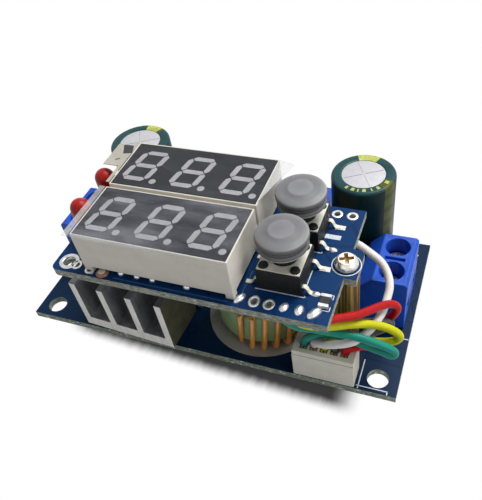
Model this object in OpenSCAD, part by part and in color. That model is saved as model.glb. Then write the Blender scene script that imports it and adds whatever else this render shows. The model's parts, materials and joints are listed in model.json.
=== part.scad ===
// Buck converter module: two stacked circuit boards. The lower one carries the power
// parts, the upper one two three-digit displays, two status lamps and two push buttons.
// All sizes are in millimetres. The origin is the centre of the bounding box at its foot.
// +X is the right side (output terminal), +Y the back (adjusting screws), +Z is up.

/* [Boards] */
// length of the main board
main_len = 62.8; // [62.8:0.2:80]
// width of the main board
main_wid = 31.6; // [31.6:0.2:40]
// thickness of both boards
board_t = 1.2; // [1:0.1:1.6]
// height of the solder tails below the main board
tail_len = 1.4; // [1.4:0.1:2.4]
// diameter of the four corner holes
corner_hole_d = 3.2; // [2.2:0.1:3.4]
// corner hole centre to the short board edge
corner_in_x = 3.1; // [2.8:0.1:4]
// corner hole centre to the long board edge
corner_in_y = 2.5; // [2.4:0.1:3.4]
// height of the spacers between the boards
spacer_len = 17.5; // [17:0.5:24]
// how far the display board stands out in front of the main board
front_over = 3.7; // [3.4:0.1:4.4]

/* [Displays] */
// height of a display housing
disp_h = 6.1; // [5:0.1:8]
// gap left by the feet below a display
foot_h = 0.8; // [0.5:0.1:1.2]
// width of one lit segment
seg_w = 0.85; // [0.6:0.05:1]
// lean of the digits, degrees
slant = 9.7; // [0:0.1:12]

/* [Buttons] */
// diameter of a button cap at its top rim
cap_d = 6.9; // [6:0.1:7.4]
// travel of a button
press = 0.25; // [0.2:0.01:0.28]

/* [Power parts] */
// height of the right capacitor
cap_r_h = 17.5; // [12:0.5:20]
// height of the left capacitor
cap_l_h = 18.8; // [12:0.1:20]
// height of the heatsink
sink_h = 10.2; // [6:0.2:14]
// thickness of a heatsink fin
fin_t = 1.2; // [0.8:0.1:2]
// number of heatsink fins
fin_n = 4; // [3:1:6]
// number of turns on the inductor
turns = 20; // [8:1:24]

/* [Leads] */
// outer diameter of a lead
lead_d = 1.15; // [0.8:0.05:1.2]

/* [Hidden] */
$fn = 32;

// clearances
slip = 0.05;
play = 0.15;
cut = 0.5;

// overall frame
cap_over = 0.75;
half_y = (main_wid + front_over + cap_over) / 2;
x_end = main_len / 2;
y_back = half_y - cap_over;
y_front = y_back - main_wid;
z0 = tail_len;
z1 = z0 + board_t;
z2 = z1 + spacer_len;
z3 = z2 + board_t;

// display board outline
dsp_len = 40.35;
dsp_wid = 21.2;
dx0 = -17.5;
dx1 = dx0 + dsp_len;
dy0 = -half_y;
dy1 = dy0 + dsp_wid;
edge_r = 1;
tab_len = 1.65;
tab_y0 = dy0 + 8;
tab_y1 = dy0 + 13.45;
tab_cut = 0.6;

// display modules
disp_len = 22.5;
disp_wid = 10;
disp_x = -0.9;
disp_y = [dy0 + 6.05, dy0 + 16.65];
foot_w = 1.2;
rim_w = 0.25;
face_t = 0.6;
pin_pitch = 2.54;
pin_r = 0.25;
disp_pin_dy = 3.81;
disp_pin_n = 6;
disp_top = z3 + foot_h + disp_h;
film_t = 0.15;
digit_n = 3;
digit_pitch = 7.55;
digit_w = 4.42;
digit_h = 6.8;
digit_x0 = 0.83;
digit_y0 = 1.45;
dot_r = 0.52;
dot_pos = [5.37, 0.25];
seg_gap = 0.1;

// status lamps
led_x = dx0 + 2.05;
led_y = [dy0 + 8.05, dy0 + 15.05];
led_lift = 0.9;
led_r = 1.5;
led_rim_r = 1.9;
led_rim_h = 1;
led_h = 5.3;

// push switches
sw_x = 15.5;
sw_y = [dy0 + 6.8, dy0 + 14.85];
sw_w = 6;
sw_h = 3.4;
plate_w = 5.7;
plate_t = 0.2;
well_r = 2.25;
well_z = z3 + 1;
plunger_r = 1.75;
collar_r = 2.1;
collar_t = 0.7;
stem_r = 0.9;
dome_h = 0.7;
dome_gap = press + slip;
stud_r = 0.6;
stud_off = 2.1;
stud_h = 0.25;
z_plate = z3 + sw_h + plate_t;
btn_gap = 2.1;
z_cap = z_plate + btn_gap;
cap_h = 2.7;
sw_lead_w = 0.7;
sw_lead_t = 0.2;
sw_lead_y = 2.25;
sw_lead_reach = 4.8;

// screws and spacers
m2_r = 0.95;
m2_hole_r = 1.1;
m2_len = 4.5;
m2_head_r = 1.6;
m2_head_h = 1.3;
spacer_af = 3.2;
spacer_pos = [[dx1 - 0.2, dy0 + 10.4], [dx0 + 2.15, dy0 + 19.05]];

// heatsink
sink_w = 16.8;
sink_d = 8;
sink_base = 2;
sink_x = -11.85;
sink_y = y_front + 3.75;
sink_turn = -3;
glue_t = 0.2;
glue_lip = 0.4;

// inductor
coil_x = 8.1;
coil_in_y = 10.9;
coil_pos = [coil_x, y_front + coil_in_y];
core_ro = 7.7;
core_ri = 4.2;
core_h = 6.2;
core_round = 0.6;
core_lift = 0.95;
wire_r = 0.42;
coil_gap = 0.03;
turn_step = 13.7;
coil_a0 = 246;
coil_lean = 5;
coil_out = core_ro + wire_r + coil_gap;
coil_in = core_ri - wire_r - coil_gap;
coil_lo = z1 + core_lift - wire_r - coil_gap;
coil_hi = z1 + core_lift + core_h + wire_r + coil_gap;
coil_soft = 0.45;
coil_edge = coil_out + wire_r;

// terminals
term_w = 10.16;
term_pitch = 5.08;
term_h = 10;
term_d = 7.6;
term_flat = 5.3;
term_side = 7.6;
term_edge = 0.4;
term_in = 1.2;
term_back = 14.05;
term_y = y_back - term_back;
term_face = x_end - term_in - term_d;
term_ax = 2.85;
term_hole_r = 1.85;
ledge_z = 6;
ledge_t = 0.3;
head_r = 1.55;
head_h = 1;
shank_r = 1.2;
shank_z = 3.85;
cage_w = 3.6;
cage_d = 3;
cage_z = 0.7;
cage_h = 3.8;
cage_floor = 0.6;
cage_roof = 0.6;
cage_wall = 0.5;
bar_z = 3.2;
bar_t = 0.5;
bar_w = 2.2;
bar_in = 2.6;
mouth = 3;
mouth_z = 1.1;
slot_w = 0.5;
slot_d = 0.6;
rib_len = 3;

// capacitors beside the terminals, standing out a little behind the main board
can_r = 5.07;
can_r_big = 5.2;
cap_r_in = 2.36;
cap_l_in = 3.67;
cap_l_over = 0.3;
cap_r_pos = [term_face - cap_r_in, y_back + cap_over - can_r];
cap_l_pos = [cap_l_in - term_face, y_back + cap_l_over - can_r_big];
sleeve_t = 0.15;
sleeve_fit = 0.03;
vent_r = 3.4;
vent_r_big = 3.25;
shoulder = 0.5;
groove_z = 1.6;
groove_d = 0.35;
cap_pitch = 5;
cap_lead_r = 0.3;

// trimmers in a row beside the right capacitor
trim_w = 9.53;
trim_d = 4.83;
trim_h = 10.03;
trim_gap = 0.755;
trim_apart = 0.47;
trim_in = 0.05;
trim_x0 = cap_r_pos[0] - can_r - trim_gap - trim_w / 2;
trim_x = [trim_x0, trim_x0 - trim_w - trim_apart];
trim_y = y_back - trim_in - trim_d / 2;
trim_front = trim_y - trim_d / 2;
trim_screw_r = 1.1;
trim_screw_off = 3.4;
trim_screw_in = 2;
trim_screw_up = 0.6;

// header and plug
hdr_n = 5;
hdr_pitch = 1.5;
hdr_len = 9.2;
hdr_wid = 3.6;
hdr_h = 5;
hdr_wall = 0.5;
hdr_floor = 0.8;
hdr_in_x = 10.75;
hdr_in_y = 1.85;
hdr_x = x_end - hdr_in_x;
hdr_y = y_front + hdr_in_y;
plug_lip = 1;
plug_top = z1 + hdr_h + plug_lip;
contact_w = 0.9;
contact_z0 = z1 + 1.6;
contact_z1 = z1 + 3.8;

// boss holes drilled in the main board
solder_r = 0.95;

// position lists shared by pins, drilled holes and solder
hdr_pts = [for (k = [0 : hdr_n - 1]) [hdr_x + (k - (hdr_n - 1) / 2) * hdr_pitch, hdr_y]];
cap_pts = [for (c = [cap_r_pos, cap_l_pos], s = [-1, 1]) [c[0] + s * cap_pitch / 2, c[1]]];
trim_pts = [for (x = trim_x, k = [-1 : 1]) [x + k * pin_pitch, trim_y]];
term_px = x_end - term_in - term_ax - bar_in;
term_pts = [for (s = [-1, 1], k = [-1, 1]) [s * term_px, term_y + k * term_pitch / 2]];
coil_a1 = coil_a0 + turn_step * turns;
coil_pts = [for (a = [coil_a0, coil_a1]) coil_pos + coil_out * [cos(a), sin(a)]];
disp_pts = [for (y = disp_y, s = [-1, 1], k = [0 : disp_pin_n - 1])
    [disp_x + (k - (disp_pin_n - 1) / 2) * pin_pitch, y + s * disp_pin_dy]];
led_pts = [for (y = led_y, s = [-1, 1]) [led_x, y + s * pin_pitch / 2]];
corner_pts = [for (sx = [-1, 1], y = [y_front + corner_in_y, y_back - corner_in_y])
    [sx * (x_end - corner_in_x), y]];

// wire pads along the front edge of the display board
pad_pitch = 1.98;
pad_n = 6;
pad_y = dy0 + 1.5;
pad_x0 = dx1 - 11.93;
pad_r = 0.45;
pads = [for (k = [0 : pad_n - 1]) [pad_x0 + k * pad_pitch, pad_y]];
full_pads = [pads[0], pads[3], pads[4], pads[5]];
spare_y = dy1 - 1.5;
big_pad = [dx0 + 2.1, dy0 + 1.9];
open_pads = [pads[1], pads[2], [dx1 - 3.85, spare_y], [dx1 - 1.65, spare_y],
    [dx0 + 3.6, dy0 + 1.55], [dx0 + 5.95, dy0 + 1.25]];
white_pad = [dx1 - 2.65, dy0 + 17.85];

// lead routes, from the pad on the display board to the plug. x and y count from the
// middle of the plug, z is the level out of lead_levels between the plug and the board.
// A route leans with its height, so its top keeps to the display board
lead_levels = 11.5;
lead_in_x = 2.2;
rise_k = (z2 - plug_top) / lead_levels;
lead_lean = (dx1 - lead_in_x - hdr_x) / lead_levels;
route_green = [[-2.6, -3.2, 8.1], [-0.8, -2.1, 6.8], [1.2, -1.3, 5.8], [3.41, -0.85, 5.27],
    [5.62, -0.6, 4.84], [7.8, -0.3, 3.9], [9.2, -0.1, 3.1], [9.8, 0, 2.2], [9.37, -0.23, 1.9],
    [8.17, -0.21, 2.3], [6.9, -0.14, 2.5], [5.73, -0.04, 2.66], [4.53, 0.16, 2.68],
    [3.33, 0.3, 2.85], [2.16, 0.29, 3.02], [0.98, 0.28, 2.97], [-0.23, 0.3, 2.7],
    [-1.35, -0.03, 2.6], [-2.25, -0.19, 1.9]];
route_yellow = [[-0.2, -2.8, 8.4], [1.9, -1.4, 7.4], [3.8, 0, 6.6], [5.7, 1.2, 5.8],
    [7.8, 2, 4.9], [9.4, 2.2, 4], [10, 2.2, 3.1], [9.45, 1.99, 2.3], [8.25, 1.64, 2.1],
    [7.04, 1.41, 2.01], [5.94, 1.11, 2.22], [4.77, 1.17, 2], [3.58, 1.21, 1.82],
    [2.27, 0.95, 1.91], [1.2, 0.54, 1.76], [0.34, 0.16, 1.07]];
route_red = [[1.23, -2.19, 9.4], [2.7, -0.7, 8.6], [4.14, 0.67, 7.8], [5.47, 2.48, 7],
    [7.07, 4.65, 6.1], [8.16, 5.88, 5.23], [8.83, 6.27, 4.2], [8.57, 6.16, 2.94],
    [7.77, 5.89, 1.72], [6.89, 5.15, 0.79], [6.03, 4.22, 0.1], [5.63, 2.49, -0.93],
    [5.13, 1.03, 0.82], [4.3, 0.63, 0.65], [3.45, 0.22, 0.65]];
route_white = [[0.7, 12.5, 9.5], [2.1, 12.5, 8.8], [3.6, 12.1, 8.1], [5.3, 11.5, 7.3],
    [6.5, 10.4, 6.4], [7.2, 8.8, 5.5], [7.2, 7.01, 4.69], [7.08, 5.23, 4.39],
    [6.74, 3.55, 4.39], [6.32, 2.29, 4.25], [5.76, 1.24, 4], [5.08, 0.22, 3.96],
    [4.25, -0.63, 3.78], [3.09, -1.06, 3.4], [1.83, -1.17, 2.9], [0.52, -1.16, 2.4],
    [-0.56, -0.82, 1.8], [-1.15, -0.31, 1.2]];
route_black = [[-7.8, -2.6, 9.5], [-5.2, -2, 8.6], [-2.4, -1.2, 7.3], [1.07, 0.17, 5.9],
    [3.42, 1.84, 4.7], [5.63, 3.43, 3.52], [7.31, 4.44, 2.84], [8.31, 4.79, 2.4],
    [8.03, 4.55, 1.85], [7.13, 3.82, 1.6], [6.03, 2.93, 1.5], [5.77, 2.16, 1.51],
    [4.8, 2.4, 0.89], [3.73, 1.99, 0.7], [2.52, 1.52, 0.62], [1.72, 1.05, 0.62]];
lead_drop = 1.3;
lead_rise = 0.4;
lead_in = 2.2;
lead_sides = 8;

// a whole lead: down from its pad, along its route, then down into plug opening k
function lead_path(top, route, k) = concat(
    [[top[0], top[1], z2], [top[0], top[1], z2 - lead_drop * rise_k]],
    [for (p = route) [hdr_x + p[0] + p[2] * lead_lean, hdr_y + p[1], plug_top + p[2] * rise_k]],
    [[hdr_pts[k][0], hdr_y, plug_top + lead_rise], [hdr_pts[k][0], hdr_y, plug_top - lead_in]]);

// ---- helpers ----

// upright pins or bores at a list of points
module posts(pts, r, lo, hi) {
    for (p = pts) translate([p[0], p[1], lo]) cylinder(h = hi - lo, r = r, $fn = 24);
}

// box given by its centre in plan and its foot
module slab(pos, size) {
    translate([pos[0] - size[0] / 2, pos[1] - size[1] / 2, pos[2]]) cube(size);
}

// solder cone below a board: wide at the board, narrow at the tip
module beads(pts, r, top, h) {
    for (p = pts) translate([p[0], p[1], top - h]) cylinder(h = h, r1 = r * 0.4, r2 = r, $fn = 20);
}

// perpendicular pair for a direction, carried along the path
function unit(v) = v / norm(v);
function carry(u, t) = unit(u - (u * t) * t);
function tangent(p, i) = unit(
    i == 0 ? p[1] - p[0]
    : i == len(p) - 1 ? p[i] - p[i - 1]
    : unit(p[i + 1] - p[i]) + unit(p[i] - p[i - 1]));
function frames(p, i, u, out) = i == len(p) ? out
    : let (t = tangent(p, i), v = carry(u, t))
        frames(p, i + 1, v, concat(out, [[v, cross(t, v)]]));

// round wire swept along a path
module wire(p, r, start) {
    n = lead_sides;
    f = frames(p, 0, start, []);
    pts = [for (i = [0 : len(p) - 1], k = [0 : n - 1])
        p[i] + r * (cos(k * 360 / n) * f[i][0] + sin(k * 360 / n) * f[i][1])];
    last = (len(p) - 1) * n;
    sides = [for (i = [0 : len(p) - 2], k = [0 : n - 1])
        let (a = i * n + k, b = i * n + (k + 1) % n)
            [a, a + n, b + n, b]];
    tris = [for (q = sides, h = [0, 1]) h == 0 ? [q[0], q[1], q[2]] : [q[0], q[2], q[3]]];
    caps = [[for (k = [0 : n - 1]) k], [for (k = [n - 1 : -1 : 0]) last + k]];
    polyhedron(points = pts, faces = concat(tris, caps), convexity = 10);
}

// ---- circuit boards ----

module main_board() {
    color([0.06, 0.2, 0.45])
    difference() {
        translate([-x_end, y_front, z0]) cube([main_len, main_wid, board_t]);
        posts(corner_pts, corner_hole_d / 2, z0 - cut, z1 + cut);
        posts(spacer_pos, m2_hole_r, z0 - cut, z1 + cut);
        posts(concat(hdr_pts, trim_pts), pin_r + slip, z0 - cut, z1 + cut);
        posts(cap_pts, cap_lead_r + slip, z0 - cut, z1 + cut);
        posts(term_pts, bar_t + slip, z0 - cut, z1 + cut);
        posts(coil_pts, wire_r + slip, z0 - cut, z1 + cut);
    }
}

module display_outline() {
    polygon([[dx0 + edge_r, dy0], [dx1, dy0], [dx1, tab_y0], [dx1 + tab_len, tab_y0],
        [dx1 + tab_len, tab_y1 - tab_cut], [dx1 + tab_len - tab_cut, tab_y1],
        [dx1, tab_y1], [dx1, dy1], [dx0, dy1], [dx0, dy0 + edge_r]]);
    translate([dx0 + edge_r, dy0 + edge_r]) circle(r = edge_r, $fn = 32);
}

module display_board() {
    color([0.08, 0.24, 0.5])
    difference() {
        translate([0, 0, z2]) linear_extrude(height = board_t) display_outline();
        posts(spacer_pos, m2_hole_r, z2 - cut, z3 + cut);
        posts(disp_pts, pin_r + slip, z2 - cut, z3 + cut);
        posts(led_pts, pin_r + slip, z2 - cut, z3 + cut);
        posts(concat(full_pads, open_pads), pad_r, z2 - cut, z3 + cut);
        posts([big_pad], pad_r * 2, z2 - cut, z3 + cut);
    }
}

// ---- power parts ----

module heatsink() {
    pitch = (sink_w - fin_t) / (fin_n - 1);
    color([0.12, 0.12, 0.13])
    translate([sink_x, sink_y, z1 + glue_t]) rotate([0, 0, sink_turn]) {
        translate([-sink_w / 2, -sink_d / 2, 0]) cube([sink_w, sink_d, sink_base]);
        for (k = [0 : fin_n - 1])
            translate([-sink_w / 2 + k * pitch, -sink_d / 2, sink_base])
                cube([fin_t, sink_d, sink_h - sink_base]);
    }
}

module heatsink_glue() {
    w = sink_w - glue_lip;
    d = sink_d - 2 * glue_lip;
    color([0.85, 0.85, 0.82])
    translate([sink_x, sink_y, z1]) rotate([0, 0, sink_turn])
        translate([-w / 2, -d / 2, 0]) cube([w, d, glue_t]);
}

reg_x = -7.6;
reg_y = y_front + 13.2;
reg_w = 10;
reg_d = 8.4;
reg_tab_t = 1.3;
reg_h = 4.4;
reg_leg_w = 0.9;
reg_leg_n = 5;
reg_leg_pitch = 1.7;
reg_leg_len = 2.4;
reg_leg_t = 0.5;
module regulator() {
    color([0.07, 0.07, 0.08])
    slab([reg_x, reg_y + reg_tab_t / 2, z1 + reg_tab_t], [reg_w, reg_d, reg_h - reg_tab_t]);
    color([0.7, 0.7, 0.72]) {
        slab([reg_x, reg_y, z1], [reg_w, reg_d + reg_tab_t, reg_tab_t]);
        for (k = [0 : reg_leg_n - 1])
            slab([reg_x + (k - (reg_leg_n - 1) / 2) * reg_leg_pitch,
                reg_y + (reg_d + reg_leg_len) / 2, z1],
                [reg_leg_w, reg_leg_len + reg_tab_t, reg_leg_t]);
    }
}

dio_size = [4.6, 3.8, 2.2];
dio_gap = 1.2;
dio_pos = [0.7, trim_front - dio_gap - dio_size[1] / 2];
dio_lift = 0.4;
dio_foot = 1.1;
module diode() {
    color([0.08, 0.08, 0.09])
    slab([dio_pos[0], dio_pos[1], z1 + dio_lift], dio_size);
    color([0.75, 0.75, 0.75])
    for (s = [-1, 1])
        slab([dio_pos[0] + s * (dio_size[0] / 2 - dio_foot / 2), dio_pos[1], z1],
            [dio_foot, dio_size[1] / 2, dio_lift]);
}

chip_size = [3.9, 4.9, 1.5];
chip_lift = 0.15;
chip_foot = 1.05;
chip_pitch = 1.27;
chip_gap = 2.13;
chip_in_y = 24.1;
chip_pos = [cap_l_pos[0] + can_r_big + chip_gap + chip_size[0] / 2 + chip_foot,
    y_front + chip_in_y];
amp_size = [3, 3, 1.1];
amp_foot = 0.5;
amp_pitch = 0.65;
amp_step = 5;
module chip(pos, size, lift, n, pitch, foot, base) {
    color([0.07, 0.07, 0.08])
    slab([pos[0], pos[1], base + (lift > 0 ? lift : lift - size[2])], size);
    color([0.78, 0.78, 0.78])
    for (s = [-1, 1], k = [0 : n - 1])
        slab([pos[0] + s * (size[0] / 2 + foot / 2), pos[1] + (k - (n - 1) / 2) * pitch,
            lift > 0 ? base : base - size[2] / 2],
            [foot, pitch / 3, size[2] / 2]);
}
module control_chips() {
    chip(chip_pos, chip_size, chip_lift, 4, chip_pitch, chip_foot, z1);
    chip([small_x - amp_step, (coil_pos[1] + coil_edge + trim_front) / 2], amp_size,
        chip_lift, 4, amp_pitch, amp_foot, z1);
}

// two-terminal chip part lying on a board, lengthways along X
module two_pad(size) {
    e = size[0] * 0.2;
    color([0.8, 0.8, 0.8])
    for (s = [-1, 1]) slab([s * (size[0] - e) / 2, 0, 0], [e, size[1], size[2]]);
    color([0.1, 0.1, 0.1])
    slab([0, 0, 0], [size[0] - 2 * e, size[1], size[2]]);
}

small_size = [2, 1.25, 0.5];
small_gap = 0.87;
small_x = cap_r_pos[0] - can_r - small_gap - small_size[0] / 2;
small_pos = [[small_x, trim_front - small_size[1]], [small_x, trim_front - 2.6 * small_size[1]],
    [2 * corner_in_x - x_end, y_back - 1.3 * small_size[1]]];
shunt_size = [5, 2.5, 0.7];
shunt_fwd = 1.15;
shunt_pos = [(coil_pos[0] + coil_edge + term_face) / 2, term_y - shunt_fwd];
module chip_parts() {
    for (p = small_pos) translate([p[0], p[1], z1]) two_pad(small_size);
    translate([shunt_pos[0], shunt_pos[1], z1]) rotate([0, 0, 90]) two_pad(shunt_size);
}

module inductor_core() {
    color([0.55, 0.66, 0.3])
    translate([coil_pos[0], coil_pos[1], z1 + core_lift])
        rotate_extrude($fn = 64) {
            translate([core_ri, core_round])
                square([core_ro - core_ri, core_h - 2 * core_round]);
            translate([core_ri + core_round, 0])
                square([core_ro - core_ri - 2 * core_round, core_h]);
            for (x = [core_ri + core_round, core_ro - core_round],
                z = [core_round, core_h - core_round])
                translate([x, z]) circle(r = core_round, $fn = 24);
        }
}

// one turn of the winding round the ring: down the hole, up the outside
function ring_at(r, a, z) = [coil_pos[0] + r * cos(a), coil_pos[1] + r * sin(a), z];
function turn_path(a) = [
    ring_at(coil_out, a, coil_lo + coil_soft),
    ring_at(coil_out, a + coil_lean, coil_hi - coil_soft),
    ring_at(coil_out - coil_soft, a + coil_lean, coil_hi),
    ring_at(coil_in + coil_soft, a + coil_lean, coil_hi),
    ring_at(coil_in, a + coil_lean, coil_hi - coil_soft),
    ring_at(coil_in, a + coil_lean, coil_lo + coil_soft),
    ring_at(coil_in + coil_soft, a + coil_lean + turn_step * 0.1, coil_lo),
    ring_at(coil_out - coil_soft, a + turn_step * 0.85, coil_lo)];
coil_path = concat([ring_at(coil_out, coil_a0, z0)],
    [for (k = [0 : turns - 1], p = turn_path(coil_a0 + k * turn_step)) p],
    [ring_at(coil_out, coil_a1, coil_lo - coil_soft), ring_at(coil_out, coil_a1, z0)]);
module inductor_winding() {
    color([0.75, 0.45, 0.2]) wire(coil_path, wire_r, [cos(coil_a0), sin(coil_a0), 0]);
}

// half outline of a can with a rounded shoulder
module can_half(r, h, soft) {
    square([r, h - soft]);
    square([r - soft, h]);
    translate([r - soft, h - soft]) circle(r = soft, $fn = 32);
}
// aluminium can with a rolled groove near its foot
module can(pos, r, h) {
    inner = r - sleeve_t - sleeve_fit;
    color([0.85, 0.85, 0.87])
    translate([pos[0], pos[1], z1]) rotate_extrude($fn = 64)
        difference() {
            can_half(inner, h - sleeve_t, shoulder - sleeve_t);
            translate([inner - groove_d, groove_z - groove_d]) square([r, 2 * groove_d]);
        }
}
module left_capacitor() {
    can(cap_l_pos, can_r_big, cap_l_h);
}
module right_capacitor() {
    can(cap_r_pos, can_r, cap_r_h);
}
module sleeve(pos, r, h, vent) {
    translate([pos[0], pos[1], z1]) rotate_extrude($fn = 64)
        difference() {
            can_half(r, h, shoulder);
            can_half(r - sleeve_t, h - sleeve_t, shoulder - sleeve_t);
            square([vent, h + cut]);
        }
}
module capacitor_sleeves() {
    color([0.1, 0.22, 0.2]) {
        sleeve(cap_l_pos, can_r_big, cap_l_h, vent_r_big);
        sleeve(cap_r_pos, can_r, cap_r_h, vent_r);
    }
}

module part_leads() {
    color([0.8, 0.8, 0.8]) {
        posts(cap_pts, cap_lead_r, z0, z1);
        posts(trim_pts, pin_r, z0, z1);
        posts(led_pts, pin_r, z2, z3 + led_lift);
    }
}

// ---- screw terminals ----
// local frame: x = 0 at the wire entry face, the body runs towards -x, z = 0 at its foot

module at_terminal(side) {
    translate([side * (x_end - term_in), term_y, z1])
        rotate([0, 0, side > 0 ? 0 : 180]) children();
}
module at_pole(side, back) {
    at_terminal(side) translate([-term_ax, side * back * term_pitch / 2, 0]) children();
}
module terminal_body() {
    difference() {
        rotate([90, 0, 0]) translate([0, 0, -term_w / 2]) linear_extrude(height = term_w)
            polygon([[0, 0], [0, term_h - term_edge], [-term_edge, term_h],
                [-term_flat, term_h], [-term_d, term_side], [-term_d, 0]]);
        for (s = [-1, 1]) translate([-term_ax, s * term_pitch / 2, 0]) {
            translate([-cage_d / 2 - play, -cage_w / 2 - play, cage_z - play])
                cube([cage_d + 2 * play, cage_w + 2 * play, ledge_z - cage_z + play]);
            translate([-bar_in - bar_t - slip, -bar_w / 2 - slip, -cut])
                cube([bar_in + bar_t + slip, bar_w + 2 * slip, bar_z + bar_t + slip + cut]);
            translate([0, -mouth / 2, mouth_z]) cube([term_ax + cut, mouth, mouth]);
            translate([0, 0, ledge_z - cut])
                cylinder(h = ledge_t + 2 * cut, r = shank_r + slip, $fn = 32);
            translate([0, 0, ledge_z + ledge_t])
                cylinder(h = term_h, r = term_hole_r, $fn = 48);
        }
        slab([-term_ax, 0, term_h - slot_d], [rib_len, slot_w, slot_d + cut]);
    }
}
module left_terminal() {
    color([0.12, 0.32, 0.75]) at_terminal(-1) terminal_body();
}
module right_terminal() {
    color([0.12, 0.32, 0.75]) at_terminal(1) terminal_body();
}
module bar() {
    translate([-bar_in, -bar_w / 2, bar_z]) cube([bar_in + cage_d / 2 - play, bar_w, bar_t]);
    translate([-bar_in, 0, -board_t]) cylinder(h = board_t + bar_z, r = bar_t, $fn = 24);
}
module terminal_bars() {
    color([0.75, 0.75, 0.75])
    for (side = [-1, 1], back = [-1, 1]) at_pole(side, back) bar();
}
module screw() {
    color([0.72, 0.7, 0.66])
    difference() {
        union() {
            translate([0, 0, shank_z])
                cylinder(h = ledge_z + ledge_t - shank_z, r = shank_r, $fn = 32);
            translate([0, 0, ledge_z + ledge_t]) cylinder(h = head_h, r = head_r, $fn = 40);
        }
        translate([-head_r - cut, -slot_w / 2, ledge_z + ledge_t + head_h - slot_d])
            cube([2 * head_r + 2 * cut, slot_w, slot_d + cut]);
    }
}
module cage() {
    color([0.75, 0.72, 0.62])
    difference() {
        translate([-cage_d / 2, -cage_w / 2, cage_z]) cube([cage_d, cage_w, cage_h]);
        translate([-cage_d / 2 - cut, -cage_w / 2 + cage_wall, cage_z + cage_floor])
            cube([cage_d + 2 * cut, cage_w - 2 * cage_wall, cage_h - cage_floor - cage_roof]);
        translate([0, 0, cage_z + cage_h - cage_roof - cut])
            cylinder(h = cage_roof + 2 * cut, r = shank_r + slip, $fn = 32);
    }
}
module screw_left_front() {
    at_pole(-1, -1) screw();
}
module screw_left_rear() {
    at_pole(-1, 1) screw();
}
module screw_right_front() {
    at_pole(1, -1) screw();
}
module screw_right_rear() {
    at_pole(1, 1) screw();
}
module clamp_left_front() {
    at_pole(-1, -1) cage();
}
module clamp_left_rear() {
    at_pole(-1, 1) cage();
}
module clamp_right_front() {
    at_pole(1, -1) cage();
}
module clamp_right_rear() {
    at_pole(1, 1) cage();
}

// ---- trimmers ----

module trimmer_bodies() {
    color([0.12, 0.35, 0.75])
    for (x = trim_x)
        difference() {
            slab([x, trim_y, z1], [trim_w, trim_d, trim_h]);
            translate([x - trim_screw_off, trim_y, z1 + trim_h - trim_screw_in])
                cylinder(h = trim_screw_in + cut, r = trim_screw_r + slip, $fn = 32);
        }
}
module trimmer_screw(x) {
    color([0.8, 0.65, 0.3])
    translate([x - trim_screw_off, trim_y, z1 + trim_h - trim_screw_in])
        difference() {
            cylinder(h = trim_screw_in + trim_screw_up, r = trim_screw_r, $fn = 32);
            translate([-trim_screw_r - cut, -slot_w / 2, trim_screw_in + trim_screw_up - slot_d])
                cube([2 * trim_screw_r + 2 * cut, slot_w, slot_d + cut]);
        }
}
module left_trimmer_screw() {
    trimmer_screw(trim_x[1]);
}
module right_trimmer_screw() {
    trimmer_screw(trim_x[0]);
}

// ---- lead plug and its header ----

module header_shroud() {
    color([0.85, 0.82, 0.76])
    difference() {
        slab([hdr_x, hdr_y, z1], [hdr_len, hdr_wid, hdr_h]);
        slab([hdr_x, hdr_y, z1 + hdr_floor],
            [hdr_len - 2 * hdr_wall, hdr_wid - 2 * hdr_wall, hdr_h]);
        posts(hdr_pts, pin_r + slip, z1 - cut, z1 + hdr_floor + cut);
    }
}
module header_pins() {
    color([0.85, 0.8, 0.6]) posts(hdr_pts, pin_r, z0, contact_z1 - 2 * slip);
}
module plug() {
    color([0.93, 0.92, 0.88])
    difference() {
        union() {
            slab([hdr_x, hdr_y, z1 + hdr_floor],
                [hdr_len - 2 * hdr_wall - 2 * slip, hdr_wid - 2 * hdr_wall - 2 * slip,
                hdr_h - hdr_floor]);
            slab([hdr_x, hdr_y, z1 + hdr_h], [hdr_len - 0.1, hdr_wid - 0.1, plug_lip]);
        }
        for (p = hdr_pts) {
            slab([p[0], p[1], contact_z0], [contact_w + 2 * slip, contact_w + 2 * slip,
                contact_z1 - contact_z0]);
            translate([p[0], p[1], z1]) cylinder(h = hdr_h, r = pin_r + slip, $fn = 24);
            translate([p[0], p[1], contact_z1])
                cylinder(h = hdr_h, r = lead_d / 2 + slip, $fn = 32);
        }
    }
}
module plug_contacts() {
    color([0.85, 0.7, 0.35])
    for (p = hdr_pts)
        difference() {
            slab([p[0], p[1], contact_z0], [contact_w, contact_w, contact_z1 - contact_z0]);
            posts([p], pin_r + slip, contact_z0 - cut, contact_z1 + cut);
        }
}
module lead_green() {
    color([0.05, 0.5, 0.42]) wire(lead_path(pads[3], route_green, 0), lead_d / 2, [1, 0, 0]);
}
module lead_yellow() {
    color([0.8, 0.76, 0.05]) wire(lead_path(pads[4], route_yellow, 2), lead_d / 2, [1, 0, 0]);
}
module lead_white() {
    color([0.9, 0.9, 0.88]) wire(lead_path(white_pad, route_white, 1), lead_d / 2, [1, 0, 0]);
}
module lead_black() {
    color([0.06, 0.06, 0.06]) wire(lead_path(pads[0], route_black, 3), lead_d / 2, [1, 0, 0]);
}
module lead_red() {
    color([0.8, 0.08, 0.1]) wire(lead_path(pads[5], route_red, 4), lead_d / 2, [1, 0, 0]);
}

// ---- displays ----

z_face = disp_top - face_t;
function lean(p) = [p[0] + tan(slant) * (p[1] - 0), p[1]];

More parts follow.
